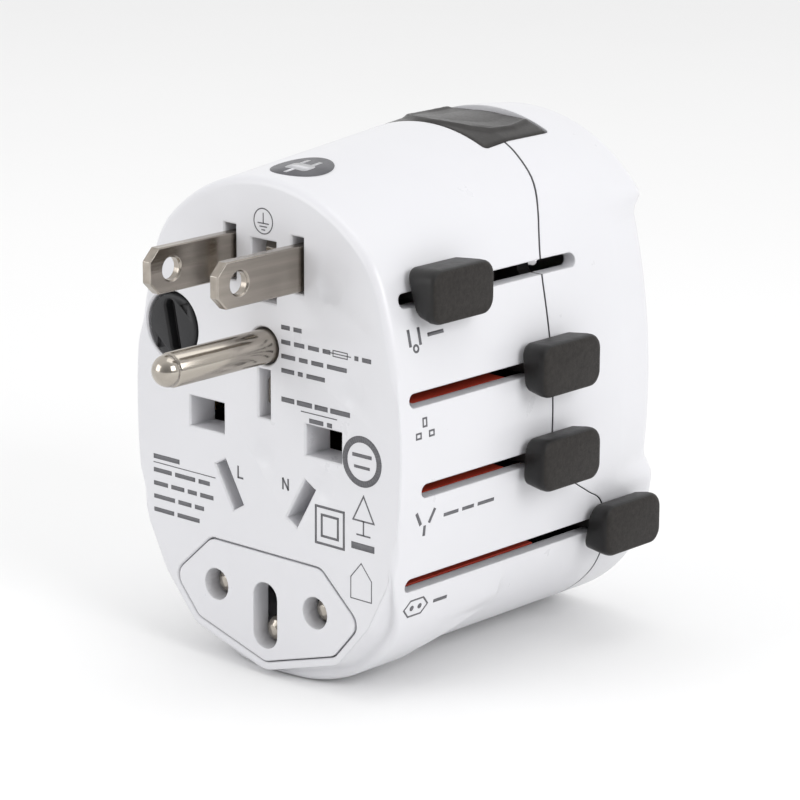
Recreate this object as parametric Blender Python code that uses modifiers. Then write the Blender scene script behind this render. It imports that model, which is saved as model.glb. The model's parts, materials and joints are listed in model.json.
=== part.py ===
"""Universal travel adapter with four sliding plug sets, a fuse drawer and a release button.

Frame: metres, +Z up.  The four plug sets come out of the face at -Y, the socket is at +Y
and the slide knobs are on the +X side.  The origin is the centre of the base it stands on.

Sizes below are written for the plug face: x is measured from the middle, y backwards from
the face and z upwards from the line through the two lower British pins.  place() turns
those into world coordinates.
"""
import math

import bmesh
import bpy
from mathutils import Vector

mm = 0.001

# ---- driving dimensions of the housing -------------------------------------------------
half_width = 25.2 * mm        # widest half width of the body
body_depth = 57.5 * mm        # plug face to socket face
crest_front = 34.9 * mm       # top of the body at the plug face, above the pin line
crest_rise = 3.8 * mm         # how much higher the top is at the back
crest_rise_depth = 38 * mm    # depth over which the top rises
crest_fall = 0.7 * mm         # how much the top drops again toward the socket face
crest_fall_start = 47 * mm    # depth where that drop begins
pin_line = 35.5 * mm          # height of the pin line above the base
wall = 2.0 * mm               # housing wall
face_wall = 3.0 * mm          # thickness of the plug face and of the socket end
arch_radius = 26.3 * mm       # curvature of the top
side_radius_up = 70 * mm      # curvature of the sides above the pin line, at the front
side_radius_rear = 92 * mm    # and at the back, where the sides stand straighter
side_radius_down = 95 * mm    # curvature of the sides below it
corner_radius = 12.3 * mm     # lower corners around the plug face
corner_radius_rear = 15.5 * mm  # lower corners behind the step
shoulder_radius = 0.8 * mm    # softness of the edge between the top and the sides
front_edge = 1.2 * mm         # rounding around the plug face
rear_edge = 3.0 * mm          # rounding around the socket end
scoop_depth = 3.3 * mm        # how far the lower front corners are scooped back
step_low = (12.0 * mm, -31.0 * mm)    # step between the two corner shapes, (y, z) below
step_high = (23.6 * mm, -25.3 * mm)   # and where it runs out on the sides
step_length = 0.8 * mm
grip_start = 46.5 * mm        # finger grips at the back of both sides
grip_depth = 2.3 * mm

# ---- fits ------------------------------------------------------------------------------
gap = 0.3 * mm                # between pieces that touch
seam_gap = 0.25 * mm          # between the two housing halves
hole_play = 0.3 * mm          # around each pin in its aperture

# ---- slides: knob height and depth at rest, travel (negative is towards the plugs) -------
knob_length = 12.4 * mm
knob_clearance = 1.2 * mm     # between the body and the back of a knob
knob_height = 7.4 * mm
knob_rise = 5.0 * mm
stem_length = 7.0 * mm
slot_end_play = 0.7 * mm      # between a stem and the round rear end of its slot
usa_knob_lift = 0.8 * mm      # how much higher than its slot this knob's middle is
uk_knob_lift = 0.5 * mm
stem_height = 1.6 * mm
slot_height = 2.0 * mm
usa_travel = 23.5 * mm
uk_travel = 24.0 * mm
aus_travel = 21.7 * mm
euro_travel = 39.0 * mm
euro_exposed = 19.0 * mm      # length of the round pins beyond their insert when out
euro_recess = 1.3 * mm        # how far the round pins' tips sit inside the insert at rest
usa_knob = (10.5 * mm, 20.9 * mm)
uk_knob = (30.2 * mm, 7.9 * mm)
aus_knob = (30.2 * mm, -4.9 * mm)
euro_knob = (46.3 * mm, -18.3 * mm)
slot_front = {"usa": 2.9 * mm, "uk": 2.1 * mm, "aus": 4.3 * mm, "euro": 2.9 * mm}

# ---- plug pins, from the national plug standards ---------------------------------------
usa_line = 23.6 * mm
usa_pitch = 12.7 * mm
usa_blade = (1.5 * mm, 6.35 * mm, 15.9 * mm)
usa_ground_drop = 11.89 * mm
usa_ground_radius = 2.4 * mm
usa_ground_length = 20.4 * mm
uk_pitch = 22.22 * mm
uk_pin = (6.35 * mm, 4.0 * mm, 17.7 * mm)
uk_earth = (4.0 * mm, 8.0 * mm, 22.7 * mm)
uk_earth_line = 22.23 * mm
aus_line = -9.3 * mm
aus_pitch = 13.72 * mm
aus_blade = (1.6 * mm, 6.35 * mm, 17.35 * mm)
aus_earth_line = 5.0 * mm
aus_earth_length = 20.0 * mm
aus_tilt = math.radians(30)
euro_line = -24.4 * mm
euro_pitch = 19.0 * mm
euro_radius = 2.0 * mm
euro_earth_drop = 5.0 * mm
euro_insert = [(10.5, -17.9), (17.7, -24.4), (13.0, -29.8), (0.0, -33.6),
               (-13.0, -29.8), (-17.7, -24.4), (-10.5, -17.9)]
euro_insert_length = 24.0 * mm

# ---- carriages that carry the pins -----------------------------------------------------
guide_front = face_wall + gap            # front of the red guide plate
guide_wall = 1.3 * mm
carriage_front = guide_front + guide_wall + gap
carriage_wall = 3.5 * mm
euro_carriage_front = 46.5 * mm
link_end = 18.5 * mm                     # where the wide link ends and the thin stem starts
usa_link_end = 18.2 * mm

# ---- back of the adapter ---------------------------------------------------------------
carrier_front = 34.1 * mm
carrier_wall = 2.4 * mm
socket_half = 16.5 * mm
socket_low = -9.6 * mm
socket_high = 26.4 * mm
socket_corner = 5 * mm
earth_bar_height = 31.5 * mm
screw_head_radius = 2.3 * mm
screw_radius = 1.3 * mm
screw_places = [(-10.0 * mm, -14.2 * mm), (10.0 * mm, -14.2 * mm),
                (-10.5 * mm, 29.9 * mm), (10.5 * mm, 29.9 * mm)]

# ---- fuse and button -------------------------------------------------------------------
fuse_inset = 5.4 * mm        # fuse axis to the inner face of the wall at its widest
fuse_centre = (-(half_width - wall - fuse_inset), 11.6 * mm)
fuse_cap_radius = 4.7 * mm
cap_slot_tilt = math.radians(12)
fuse_radius = 3.15 * mm
fuse_length = 25.4 * mm
button_half = 10.8 * mm
button_front = 33.1 * mm
button_back = 46.8 * mm
button_wall = 2.0 * mm
spring_radius = 1.9 * mm
spring_wire = 0.25 * mm
spring_x = 5.2 * mm
spring_y = 40.0 * mm

ring_points = 72              # points around one housing section


# ---- small helpers ---------------------------------------------------------------------
def clear_scene():
    for old in list(bpy.data.objects):
        bpy.data.objects.remove(old, do_unlink=True)


def place(x, y, z):
    """Plug-face coordinates to world coordinates."""
    return Vector((x, y - body_depth / 2, z + pin_line))


def make_material(name, colour, roughness, metallic=0.0):
    material = bpy.data.materials.new(name)
    material.use_nodes = True
    shader = material.node_tree.nodes["Principled BSDF"]
    shader.inputs["Base Color"].default_value = (*colour, 1)
    shader.inputs["Roughness"].default_value = roughness
    shader.inputs["Metallic"].default_value = metallic
    material.diffuse_color = (*colour, 1)
    return material


def link(name, mesh, material=None, group=None):
    made = bpy.data.objects.new(name, mesh)
    (group or parts).objects.link(made)
    if material is not None:
        mesh.materials.clear()
        mesh.materials.append(material)
    return made


def hide_cutter(cutter):
    cutter.hide_render = True
    cutter.display_type = "WIRE"
    return cutter


def smooth(made, angle=35):
    made.data.shade_smooth()
    made.data.set_sharp_from_angle(angle=math.radians(angle))
    return made


def bevel(made, width, segments=2, angle=40):
    rounding = made.modifiers.new("edges", "BEVEL")
    rounding.width = width
    rounding.segments = segments
    rounding.limit_method = "ANGLE"
    rounding.angle_limit = math.radians(angle)
    return made


def boolean(made, other, operation="DIFFERENCE"):
    step = made.modifiers.new(operation.lower(), "BOOLEAN")
    step.object = other
    step.operation = operation
    step.solver = "EXACT"
    return made


def parent_keep(child, parent):
    bpy.context.view_layer.update()
    child.parent = parent
    child.matrix_parent_inverse = parent.matrix_world.inverted()


def box(name, low, high, material=None, group=None):
    """Box between two corners given in plug-face coordinates."""
    low, high = place(*low), place(*high)
    shape = bmesh.new()
    bmesh.ops.create_cube(shape, size=1)
    for corner in shape.verts:
        corner.co = Vector([low[i] + (corner.co[i] + 0.5) * (high[i] - low[i]) for i in range(3)])
    mesh = bpy.data.meshes.new(name)
    shape.to_mesh(mesh)
    shape.free()
    return link(name, mesh, material, group)


def joined_boxes(name, boxes, group):
    """Several separate boxes in one cutter."""
    shape = bmesh.new()
    for low, high in boxes:
        low, high = place(*low), place(*high)
        made = bmesh.ops.create_cube(shape, size=1)
        for corner in made["verts"]:
            corner.co = Vector([low[i] + (corner.co[i] + 0.5) * (high[i] - low[i])
                                for i in range(3)])
    mesh = bpy.data.meshes.new(name)
    shape.to_mesh(mesh)
    shape.free()
    return hide_cutter(link(name, mesh, None, group))


def flat_mesh(name, outlines, thickness):
    """Closed slab of one outline and its holes, drawn in x and y, centred on z = 0."""
    curve = bpy.data.curves.new(name, "CURVE")
    curve.dimensions = "2D"
    curve.fill_mode = "BOTH"
    curve.extrude = thickness / 2
    for outline in outlines:
        spline = curve.splines.new("POLY")
        spline.points.add(len(outline) - 1)
        for point, (x, y) in zip(spline.points, outline):
            point.co = (x, y, 0, 1)
        spline.use_cyclic_u = True
    drawn = bpy.data.objects.new(name, curve)
    parts.objects.link(drawn)
    graph = bpy.context.evaluated_depsgraph_get()
    mesh = bpy.data.meshes.new_from_object(drawn.evaluated_get(graph))
    bpy.data.objects.remove(drawn, do_unlink=True)
    bpy.data.curves.remove(curve)
    shape = bmesh.new()
    shape.from_mesh(mesh)
    bmesh.ops.remove_doubles(shape, verts=shape.verts, dist=0.001 * mm)
    caps = [f for f in shape.faces if len({round(v.co.z, 6) for v in f.verts}) == 1]
    inner = [e for e in shape.edges if all(f in caps for f in e.link_faces)]
    bmesh.ops.beautify_fill(shape, faces=caps, edges=inner)
    bmesh.ops.recalc_face_normals(shape, faces=shape.faces)
    shape.to_mesh(mesh)
    shape.free()
    return mesh


def slab_y(name, outlines, front, back, material=None, group=None):
    """Slab whose outline is drawn in x and z, between two depths."""
    mesh = flat_mesh(name, outlines, back - front)
    for corner in mesh.vertices:
        x, z, depth = corner.co
        corner.co = place(x, (front + back) / 2 - depth, z)
    return link(name, mesh, material, group)


def slab_x(name, outlines, low, high, material=None, group=None):
    """Slab whose outline is drawn in y and z, between two x values."""
    mesh = flat_mesh(name, outlines, high - low)
    for corner in mesh.vertices:
        y, z, side = corner.co
        corner.co = place((low + high) / 2 + side, y, z)
    return link(name, mesh, material, group)


def slab_z(name, outlines, low, high, material=None, group=None):
    """Slab whose outline is drawn in x and y, between two heights."""
    mesh = flat_mesh(name, outlines, high - low)
    for corner in mesh.vertices:
        x, y, height = corner.co
        corner.co = place(x, y, (low + high) / 2 + height)
    return link(name, mesh, material, group)


def rectangle(centre_x, centre_z, width, height, tilt=0.0):
    corners = [(-width / 2, -height / 2), (width / 2, -height / 2),
               (width / 2, height / 2), (-width / 2, height / 2)]
    return [(centre_x + x * math.cos(tilt) - z * math.sin(tilt),
             centre_z + x * math.sin(tilt) + z * math.cos(tilt)) for x, z in corners]


def circle(centre_x, centre_z, radius, count=24):
    return [(centre_x + radius * math.cos(2 * math.pi * i / count),
             centre_z + radius * math.sin(2 * math.pi * i / count)) for i in range(count)]


def rounded(corners, radius, count=4):
    """Outline with every corner rounded by an arc; corners run anticlockwise or clockwise."""
    outline = []
    for i, corner in enumerate(corners):
        here = Vector(corner)
        before = (Vector(corners[i - 1]) - here).normalized()
        after = (Vector(corners[(i + 1) % len(corners)]) - here).normalized()
        half = math.acos(max(-1, min(1, before.dot(after)))) / 2
        centre = here + (before + after).normalized() * (radius / math.sin(half))
        first = here + before * (radius / math.tan(half)) - centre
        last = here + after * (radius / math.tan(half)) - centre
        start = math.atan2(first.y, first.x)
        turn = (math.atan2(last.y, last.x) - start + math.pi) % (2 * math.pi) - math.pi
        for j in range(count + 1):
            angle = start + turn * j / count
            outline.append((centre.x + radius * math.cos(angle),
                            centre.y + radius * math.sin(angle)))
    return outline


def grown(corners, distance):
    """Convex outline moved outwards by a distance, inwards if negative."""
    centre = sum((Vector(c) for c in corners), Vector((0, 0))) / len(corners)
    moved = []
    for i, corner in enumerate(corners):
        here = Vector(corner)
        before = (here - Vector(corners[i - 1])).normalized()
        after = (Vector(corners[(i + 1) % len(corners)]) - here).normalized()
        outward = (before - after).normalized()
        if outward.dot(here - centre) < 0:
            outward = -outward
        half_turn = math.acos(max(-1, min(1, before.dot(after)))) / 2
        moved.append(tuple(here + outward * (distance / math.cos(half_turn))))
    return moved


def loft(name, rings, material=None, group=None):
    """Closed solid through rings of the same number of points."""
    shape = bmesh.new()
    made = [[shape.verts.new(point) for point in ring] for ring in rings]
    for first, second in zip(made, made[1:]):
        for i in range(len(first)):
            j = (i + 1) % len(first)
            shape.faces.new((first[i], first[j], second[j], second[i]))
    shape.faces.new(list(reversed(made[0])))
    shape.faces.new(made[-1])
    bmesh.ops.recalc_face_normals(shape, faces=shape.faces)
    bmesh.ops.triangulate(shape, faces=[f for f in shape.faces if len(f.verts) > 4])
    mesh = bpy.data.meshes.new(name)
    shape.to_mesh(mesh)
    shape.free()
    return link(name, mesh, material, group)


def turned(name, profile, centre, direction, steps=24, material=None, group=None):
    """Turned solid: profile of (distance along the axis, radius), on a world axis."""
    mesh = bpy.data.meshes.new(name)
    shape = bmesh.new()
    ring = profile[0] == profile[-1]
    points = [shape.verts.new((radius, 0, -along)) for along, radius in profile[:-1]]
    if ring:
        points.append(points[0])
    else:
        points.append(shape.verts.new((profile[-1][1], 0, -profile[-1][0])))
    for first, second in zip(points, points[1:]):
        shape.edges.new((first, second))
    shape.to_mesh(mesh)
    shape.free()
    made = link(name, mesh, material, group)
    screw = made.modifiers.new("turn", "SCREW")
    screw.steps = steps
    screw.render_steps = steps
    screw.use_merge_vertices = True
    screw.merge_threshold = 0.01 * mm
    made.location = centre
    made.rotation_euler = Vector(direction).to_track_quat("-Z", "Y").to_euler()
    return smooth(made)


# ---- housing shape ---------------------------------------------------------------------
def crest(y):
    """Height of the top of the body above the pin line at a depth."""
    rise = crest_rise * min(max(y / crest_rise_depth, 0), 1)
    return crest_front + rise - crest_fall * step(y, crest_fall_start, body_depth)


def step(value, start, end):
    t = min(max((value - start) / (end - start), 0), 1)
    return t * t * (3 - 2 * t)


def round_max(a, b, radius):
    """Intersection of two shapes with a rounded corner, from their signed distances."""
    return min(-radius, max(a, b)) + math.hypot(max(radius + a, 0), max(radius + b, 0))


def step_depth(z):
    """Depth at which the step between the two lower corner shapes starts, at a height."""
    t = min(max((z - step_low[1]) / (step_high[1] - step_low[1]), 0), 1)
    return step_low[0] + (step_high[0] - step_low[0]) * t


def body_distance(x, z, y, corner=corner_radius):
    """Signed distance from a point of a section to the body's outline there."""
    x = abs(x)
    upper = side_radius_up + (side_radius_rear - side_radius_up) * step(y, 33 * mm, 50 * mm)
    side_radius = upper if z > 0 else side_radius_down
    side = math.hypot(x - (half_width - side_radius), z) - side_radius
    top = math.hypot(x, max(z - (crest(y) - arch_radius), 0)) - arch_radius
    floor = -pin_line - z
    body = round_max(side, floor, corner)
    body = round_max(body, top, shoulder_radius)
    if y < scoop_depth:
        t = 1 - math.sqrt(max(1 - (y / scoop_depth) ** 2, 0))
        rim = 0.635 * x - 0.772 * z - (33.6 + 3.0 * t) * mm
        body = round_max(body, rim, 2.5 * mm)
    return body


def section(y, inset, corner=corner_radius, follow_step=None):
    """Points around the body at depth y, drawn in by inset.

    follow_step moves the points to the depth of the step plus that distance.
    """
    ring = []
    for i in range(ring_points):
        angle = 2 * math.pi * (i + 0.5) / ring_points
        dx, dz = math.cos(angle), math.sin(angle)
        low, high = 5 * mm, 60 * mm
        for _ in range(30):
            middle = (low + high) / 2
            if body_distance(dx * middle, dz * middle, y, corner) > -inset:
                high = middle
            else:
                low = middle
        x, z = dx * low, dz * low
        depth = y if follow_step is None else step_depth(z) + follow_step
        grip = grip_depth * min(max((y - grip_start) / (body_depth - grip_start), 0), 1)
        grip *= step(z, -14 * mm, -10 * mm) * (1 - step(z, 24 * mm, 28 * mm))
        ring.append(place(x - math.copysign(min(grip, abs(x)), x), depth, z))
    return ring


def outer_rings():
    rings = []
    for t in (0.0, 0.3, 0.7, 1.0):
        y = front_edge * (1 - math.cos(t * math.pi / 2))
        rings.append(section(y, front_edge * (1 - math.sin(t * math.pi / 2))))
    rings += [section(y, 0) for y in (2.2 * mm, 2.9 * mm, scoop_depth)]
    rings.append(section(step_high[0], 0, corner_radius, 0.0))
    rings.append(section(step_high[0] + step_length, 0, corner_radius_rear, step_length))
    rings += [section(y, 0, corner_radius_rear) for y in (28 * mm, 38 * mm, grip_start)]
    for t in (0.0, 0.35, 0.7, 1.0):
        y = body_depth - rear_edge * (1 - math.sin(t * math.pi / 2))
        rings.append(section(y, rear_edge * (1 - math.cos(t * math.pi / 2)),
                             corner_radius_rear))
    return rings


def inner_rings():
    rings = []
    for y in (face_wall, 12 * mm, 28 * mm, 38 * mm, grip_start, body_depth - face_wall):
        ring = section(max(y, scoop_depth), wall, corner_radius_rear)
        shift = Vector((0, min(y - scoop_depth, 0), 0))
        rings.append([point + shift for point in ring])
    return rings


def seam_line():
    """Seam between the halves, as (y, z): straight, stepped back below and swept back above."""
    return [(47.9, -60.0), (47.9, -26.0), (43.8, -14.7), (31.5, -7.2), (31.5, 21.9),
            (34.0, 25.9), (35.2, 29.0), (36.4, 32.9), (37.2, 36.2), (37.2, 60.0)]


def seam_block(name, rear):
    """Block that holds everything on one side of the seam."""
    line = [(y * mm + (seam_gap if rear else 0), z * mm) for y, z in seam_line()]
    far = 90 * mm if rear else -60 * mm
    outline = line + [(far, 60 * mm), (far, -60 * mm)]
    block = slab_x(name, [outline], -60 * mm, 60 * mm, None, cutters)
    return hide_cutter(block)


def insert_outline(distance, corner=2.0 * mm):
    corners = [(x * mm, z * mm) for x, z in euro_insert]
    return rounded(grown(corners, distance), corner + max(distance, 0), 4)


def slot_outline(front, back, z, height):
    """Long hole with round ends, drawn in y and z."""
    radius = height / 2
    ends = []
    for centre, start in ((back - radius, -90), (front + radius, 90)):
        for i in range(7):
            angle = math.radians(start + 30 * i)
            ends.append((centre + radius * math.cos(angle), z + radius * math.sin(angle)))
    return ends


def slide_slots():
    """Rear end of each slot follows from its knob, its stem and its travel."""
    end = stem_length / 2 + slot_end_play
    return {
        "usa": (slot_front["usa"], usa_knob[0] + usa_travel + end + 1.1 * mm, usa_knob[1]),
        "uk": (slot_front["uk"], uk_knob[0] + end, uk_knob[1]),
        "aus": (slot_front["aus"], aus_knob[0] + end, aus_knob[1]),
        "euro": (slot_front["euro"], euro_knob[0] + end, euro_knob[1]),
    }


def face_openings():
    """Outlines of the pin apertures, drawn in x and z."""
    play = 2 * hole_play
    holes = []
    for side in (-1, 1):
        holes.append(rectangle(side * usa_pitch / 2, usa_line + 0.4 * mm,
                               usa_blade[0] + play, usa_blade[1] + play + 0.8 * mm))
        holes.append(rectangle(side * uk_pitch / 2, 0, uk_pin[0] + play, uk_pin[1] + play))
        holes.append(rectangle(side * aus_pitch / 2, aus_line, aus_blade[0] + play,
                               aus_blade[1] + play, side * -aus_tilt))
    holes.append(rectangle(0, uk_earth_line, uk_earth[0] + play, uk_earth[1] + play))
    holes.append(rectangle(0, aus_earth_line, aus_blade[0] + play, aus_blade[1] + play))
    holes.append(circle(0, usa_line - usa_ground_drop, usa_ground_radius + hole_play, 20))
    return holes


def build_housing(white):
    outer_front = loft("front_housing", outer_rings(), white)
    cavity = hide_cutter(loft("cavity", inner_rings(), None, cutters))
    boolean(outer_front, cavity)
    boolean(outer_front, seam_block("front_side", False), "INTERSECT")
    outer_rear = loft("rear_housing", outer_rings(), white)
    boolean(outer_rear, cavity)
    boolean(outer_rear, seam_block("rear_side", True), "INTERSECT")

    for i, outline in enumerate(face_openings()):
        hole = slab_y("aperture_%d" % i, [outline], -5 * mm, face_wall + 1 * mm, None, cutters)
        boolean(outer_front, hide_cutter(hole))
    insert_hole = slab_y("insert_hole", [insert_outline(gap)], -5 * mm,
                         euro_insert_length + gap, None, cutters)
    boolean(outer_front, hide_cutter(insert_hole))
    fuse_hole = slab_y("fuse_hole", [circle(*fuse_centre, fuse_cap_radius + gap)],
                       -5 * mm, face_wall + 1 * mm, None, cutters)
    boolean(outer_front, hide_cutter(fuse_hole))

    for name, (front, back, z) in slide_slots().items():
        outline = slot_outline(front, back, z, slot_height)
        slot = hide_cutter(slab_x(name + "_slot", [outline], 15 * mm, 40 * mm, None, cutters))
        boolean(outer_front, slot)
        boolean(outer_rear, slot)
    button_hole = box("button_hole", (-button_half - gap, button_front - gap, 20 * mm),
                      (button_half + gap, button_back + gap, 60 * mm), None, cutters)
    boolean(outer_front, hide_cutter(button_hole))
    boolean(outer_rear, button_hole)

    opening = rounded([(-socket_half, socket_low), (socket_half, socket_low),
                       (socket_half, socket_high), (-socket_half, socket_high)], socket_corner)
    socket_hole = slab_y("socket_hole", [opening], body_depth - face_wall - 2 * mm,
                         body_depth + 5 * mm, None, cutters)
    boolean(outer_rear, hide_cutter(socket_hole))
    for i, (x, z) in enumerate(screw_places):
        bore = turned("screw_bore_%d" % i,
                      [(-1 * mm, 0), (-1 * mm, screw_head_radius + gap),
                       (2.2 * mm, screw_head_radius + gap), (2.2 * mm, screw_radius + gap),
                       (9 * mm, screw_radius + gap), (9 * mm, 0)],
                      place(x, body_depth, z), (0, -1, 0), 16, None, cutters)
        boolean(outer_rear, hide_cutter(bore))
    smooth(outer_front, 30)
    smooth(outer_rear, 30)


def socket_openings():
    """Openings of the socket end: two wide ones, the earth one, all in x and z."""
    return [rounded(rectangle(side * 9.0 * mm, 0, 7.4 * mm, 8.4 * mm), 1 * mm, 3)
            for side in (-1, 1)] + [rounded(rectangle(0, 19.6 * mm, 5.6 * mm, 10.6 * mm),
                                            1 * mm, 3)]


def build_socket_plate(white):
    outline = rounded([(-socket_half + gap, socket_low + gap), (socket_half - gap, socket_low + gap),
                       (socket_half - gap, socket_high - gap),
                       (-socket_half + gap, socket_high - gap)], socket_corner - gap)
    plate = slab_y("socket_plate", [outline] + socket_openings(), body_depth - face_wall,
                   body_depth - 0.4 * mm, white)
    return plate


# ---- inside: guides, carrier, busbars --------------------------------------------------
def arm_floor(knob):
    """Height of the underside of a slider's link; the guide shelf lies just under it."""
    return knob[1] - 1.2 * mm


def shelf_boxes(knob, inner, front, back):
    """Guide shelf under a link, with a raised lip under the stem next to the wall."""
    top = arm_floor(knob) - 0.4 * mm
    lip = knob[1] - stem_height / 2 - 0.25 * mm
    outer = min(side_x(top - 1.2 * mm), side_x(lip)) - wall - gap
    return (((inner, front, top - 1.2 * mm), (outer, back, top)),
            ((link_end + gap, front, top - 1.2 * mm), (outer, back, lip)))


def build_guides(red):
    outline = [(-16.0, -14.2), (20.8, -14.2), (20.8, 4.4), (17.2, 4.4), (17.2, 25.0), (9.0, 30.4),
               (-9.0, 30.4), (-12.6, 26.0), (-12.6, 6.6), (-16.0, 6.6)]
    guide = slab_y("pin_guide", [[(x * mm, z * mm) for x, z in outline]] + face_openings(),
                   guide_front, guide_front + guide_wall, red)
    for name, knob, inner in (("uk", uk_knob, 14.4 * mm), ("aus", aus_knob, 11.0 * mm)):
        for i, (low, high) in enumerate(shelf_boxes(knob, inner, guide_front + 0.5 * mm,
                                                    24 * mm)):
            shelf = box("%s_shelf_%d" % (name, i), low, high, None, cutters)
            boolean(guide, hide_cutter(shelf), "UNION")
    top = arm_floor(euro_knob) - 0.4 * mm
    lip = euro_knob[1] - stem_height / 2 - 0.25 * mm
    low = top - 1.1 * mm
    outer = side_x(low) - wall - gap
    angle = [(15.4 * mm, top), (link_end + gap, top), (link_end + gap, lip), (outer, lip),
             (outer, low), (19.2 * mm, low), (18.8 * mm, top - 3.8 * mm),
             (18.1 * mm, top - 3.8 * mm), (18.1 * mm, low), (15.4 * mm, low)]
    slab_y("euro_guide", [angle], guide_front, 33 * mm, red)


def build_carrier(black):
    outline = [(-18.4, -16.0), (18.4, -16.0), (19.0, 12.0), (18.0, 17.6), (16.2, 19.2), (15.4, 26.0),
               (12.6, 31.2), (8.5, 33.0), (-8.5, 33.0), (-12.6, 31.2), (-16.0, 26.0),
               (-18.0, 18.6), (-19.0, 12.0)]
    holes = [rectangle(side * 16.4 * mm, 1.3 * mm, 1.6 * mm, 6.2 * mm) for side in (-1, 1)]
    holes += [circle(x, z, screw_radius + gap, 16) for x, z in screw_places]
    holes.append(rectangle(0, earth_bar_height, 6.0 * mm, 1.4 * mm))
    carrier = slab_y("contact_carrier", [[(x * mm, z * mm) for x, z in outline]] + holes,
                     carrier_front, carrier_front + carrier_wall, black)
    for name, knob, inner in (("uk", uk_knob, 14.4 * mm), ("aus", aus_knob, 11.0 * mm)):
        top = arm_floor(knob) - 0.4 * mm
        shelf = box(name + "_rear_shelf", (inner, 24.3 * mm, top - 1.2 * mm),
                    (link_end, carrier_front + 0.5 * mm, top), None, cutters)
        boolean(carrier, hide_cutter(shelf), "UNION")
    seat = box("spring_seat", (-7.4 * mm, carrier_front + 1 * mm, 29.2 * mm),
               (7.4 * mm, 44 * mm, 30.4 * mm), None, cutters)
    boolean(carrier, hide_cutter(seat), "UNION")


def strip_outline(path, thickness):
    """Outline of a bent strip of metal that follows a path."""
    left, right = [], []
    for i, point in enumerate(path):
        here = Vector(point)
        before = (here - Vector(path[i - 1])).normalized() if i else None
        after = (Vector(path[i + 1]) - here).normalized() if i + 1 < len(path) else None
        along = (before or after) + (after or before)
        along.normalize()
        normal = Vector((-along.y, along.x))
        stretch = 1 / max(normal.dot(Vector((-(before or after).y, (before or after).x))), 0.5)
        left.append(tuple(here + normal * thickness / 2 * stretch))
        right.append(tuple(here - normal * thickness / 2 * stretch))
    return left + right[::-1]


def build_busbars(brass):
    for name, side in (("live_busbar", -1), ("neutral_busbar", 1)):
        path = [(side * 16.4 * mm, 6 * mm), (side * 16.4 * mm, 40 * mm),
                (side * 13.6 * mm, 44 * mm), (side * 13.6 * mm, 52.5 * mm)]
        slab_z(name, [strip_outline(path, 0.8 * mm)], -1.5 * mm, 4.1 * mm, brass)
    path = [(26 * mm, earth_bar_height), (45 * mm, earth_bar_height), (48 * mm, 26.4 * mm),
            (52.5 * mm, 26.4 * mm)]
    slab_x("earth_busbar", [strip_outline(path, 0.8 * mm)], -2.6 * mm, 2.6 * mm, brass)


def build_screws(steel):
    for i, (x, z) in enumerate(screw_places):
        top = 0.4 * mm
        length = body_depth - carrier_front - top
        turned("housing_screw_%d" % (i + 1),
               [(0, 0), (0, screw_head_radius - 0.4 * mm), (0.4 * mm, screw_head_radius),
                (1.8 * mm - gap, screw_head_radius), (1.8 * mm - gap, screw_radius),
                (length - 1 * mm, screw_radius), (length, 0.5 * mm), (length, 0)],
               place(x, body_depth - top, z), (0, -1, 0), 16, steel)


# ---- plug sets -------------------------------------------------------------------------
def flat_blade(name, width, height, tip, back, centre, tilt, material, hole=False):
    """Flat pin with a chamfered tip; drawn from the side and laid at its place."""
    chamfer = 1.6 * mm
    half = height / 2
    tail = carriage_wall + 0.9 * mm
    tail_half = half - 1.0 * mm
    outline = [(tip, -half + chamfer), (tip + chamfer, -half), (back - tail, -half),
               (back - tail, -tail_half), (back, -tail_half), (back, tail_half),
               (back - tail, tail_half), (back - tail, half), (tip + chamfer, half),
               (tip, half - chamfer)]
    outlines = [outline]
    if hole:
        outlines.append(circle(tip + 4.0 * mm, 0, 1.6 * mm, 20))
    mesh = flat_mesh(name, outlines, width)
    turn = tilt
    for corner in mesh.vertices:
        y, up, side = corner.co
        corner.co = place(centre[0] + side * math.cos(turn) - up * math.sin(turn), y,
                          centre[1] + side * math.sin(turn) + up * math.cos(turn))
    return link(name, mesh, material)


def square_pin(name, width, height, tip, back, centre, material):
    """British pin: rectangular with a chamfered tip and a thinner tail in its carriage."""
    def ring(y, w, h):
        return [place(x, y, z) for x, z in rectangle(centre[0], centre[1], w, h)]
    tail = carriage_wall + 0.9 * mm
    rings = [ring(tip, width - 2.4 * mm, height - 2.0 * mm), ring(tip + 1.6 * mm, width, height),
             ring(back - tail, width, height), ring(back - tail, width - 2.4 * mm, height - 1.6 * mm),
             ring(back, width - 2.4 * mm, height - 1.6 * mm)]
    return loft(name, rings, material)


def round_pin(name, radius, tip, back, centre, material, tail_radius):
    """Round pin with a domed tip and a thinner tail in its carriage."""
    tail = carriage_wall + 0.9 * mm
    dome = [(radius * (1 - math.cos(a)), radius * math.sin(a))
            for a in (math.radians(d) for d in (0, 22, 45, 67, 90))]
    profile = dome + [(back - tip - tail, radius), (back - tip - tail, tail_radius),
                      (back - tip, tail_radius), (back - tip, 0)]
    return turned(name, profile, place(centre[0], tip, centre[1]), (0, 1, 0), 20, material)


def tail_hole(x, z, width, height, tilt=0.0):
    play = 2 * 0.15 * mm
    return rectangle(x, z, width + play, height + play, tilt)


def side_x(z):
    """Half width of the body at a height."""
    radius = side_radius_up if z > 0 else side_radius_down
    return half_width - radius + math.sqrt(radius ** 2 - z ** 2)


def add_stem(carriage, knob, start):
    """Link's end block and the thin stem that passes through the slot to the knob."""
    low = knob[1] - stem_height / 2
    reach = min(side_x(low), side_x(low + stem_height)) + knob_clearance - 0.35 * mm
    stem = box(carriage.name + "_stem", (start - 1 * mm, knob[0] - stem_length / 2, low),
               (reach, knob[0] + stem_length / 2, low + stem_height), None, cutters)
    boolean(carriage, hide_cutter(stem), "UNION")


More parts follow.
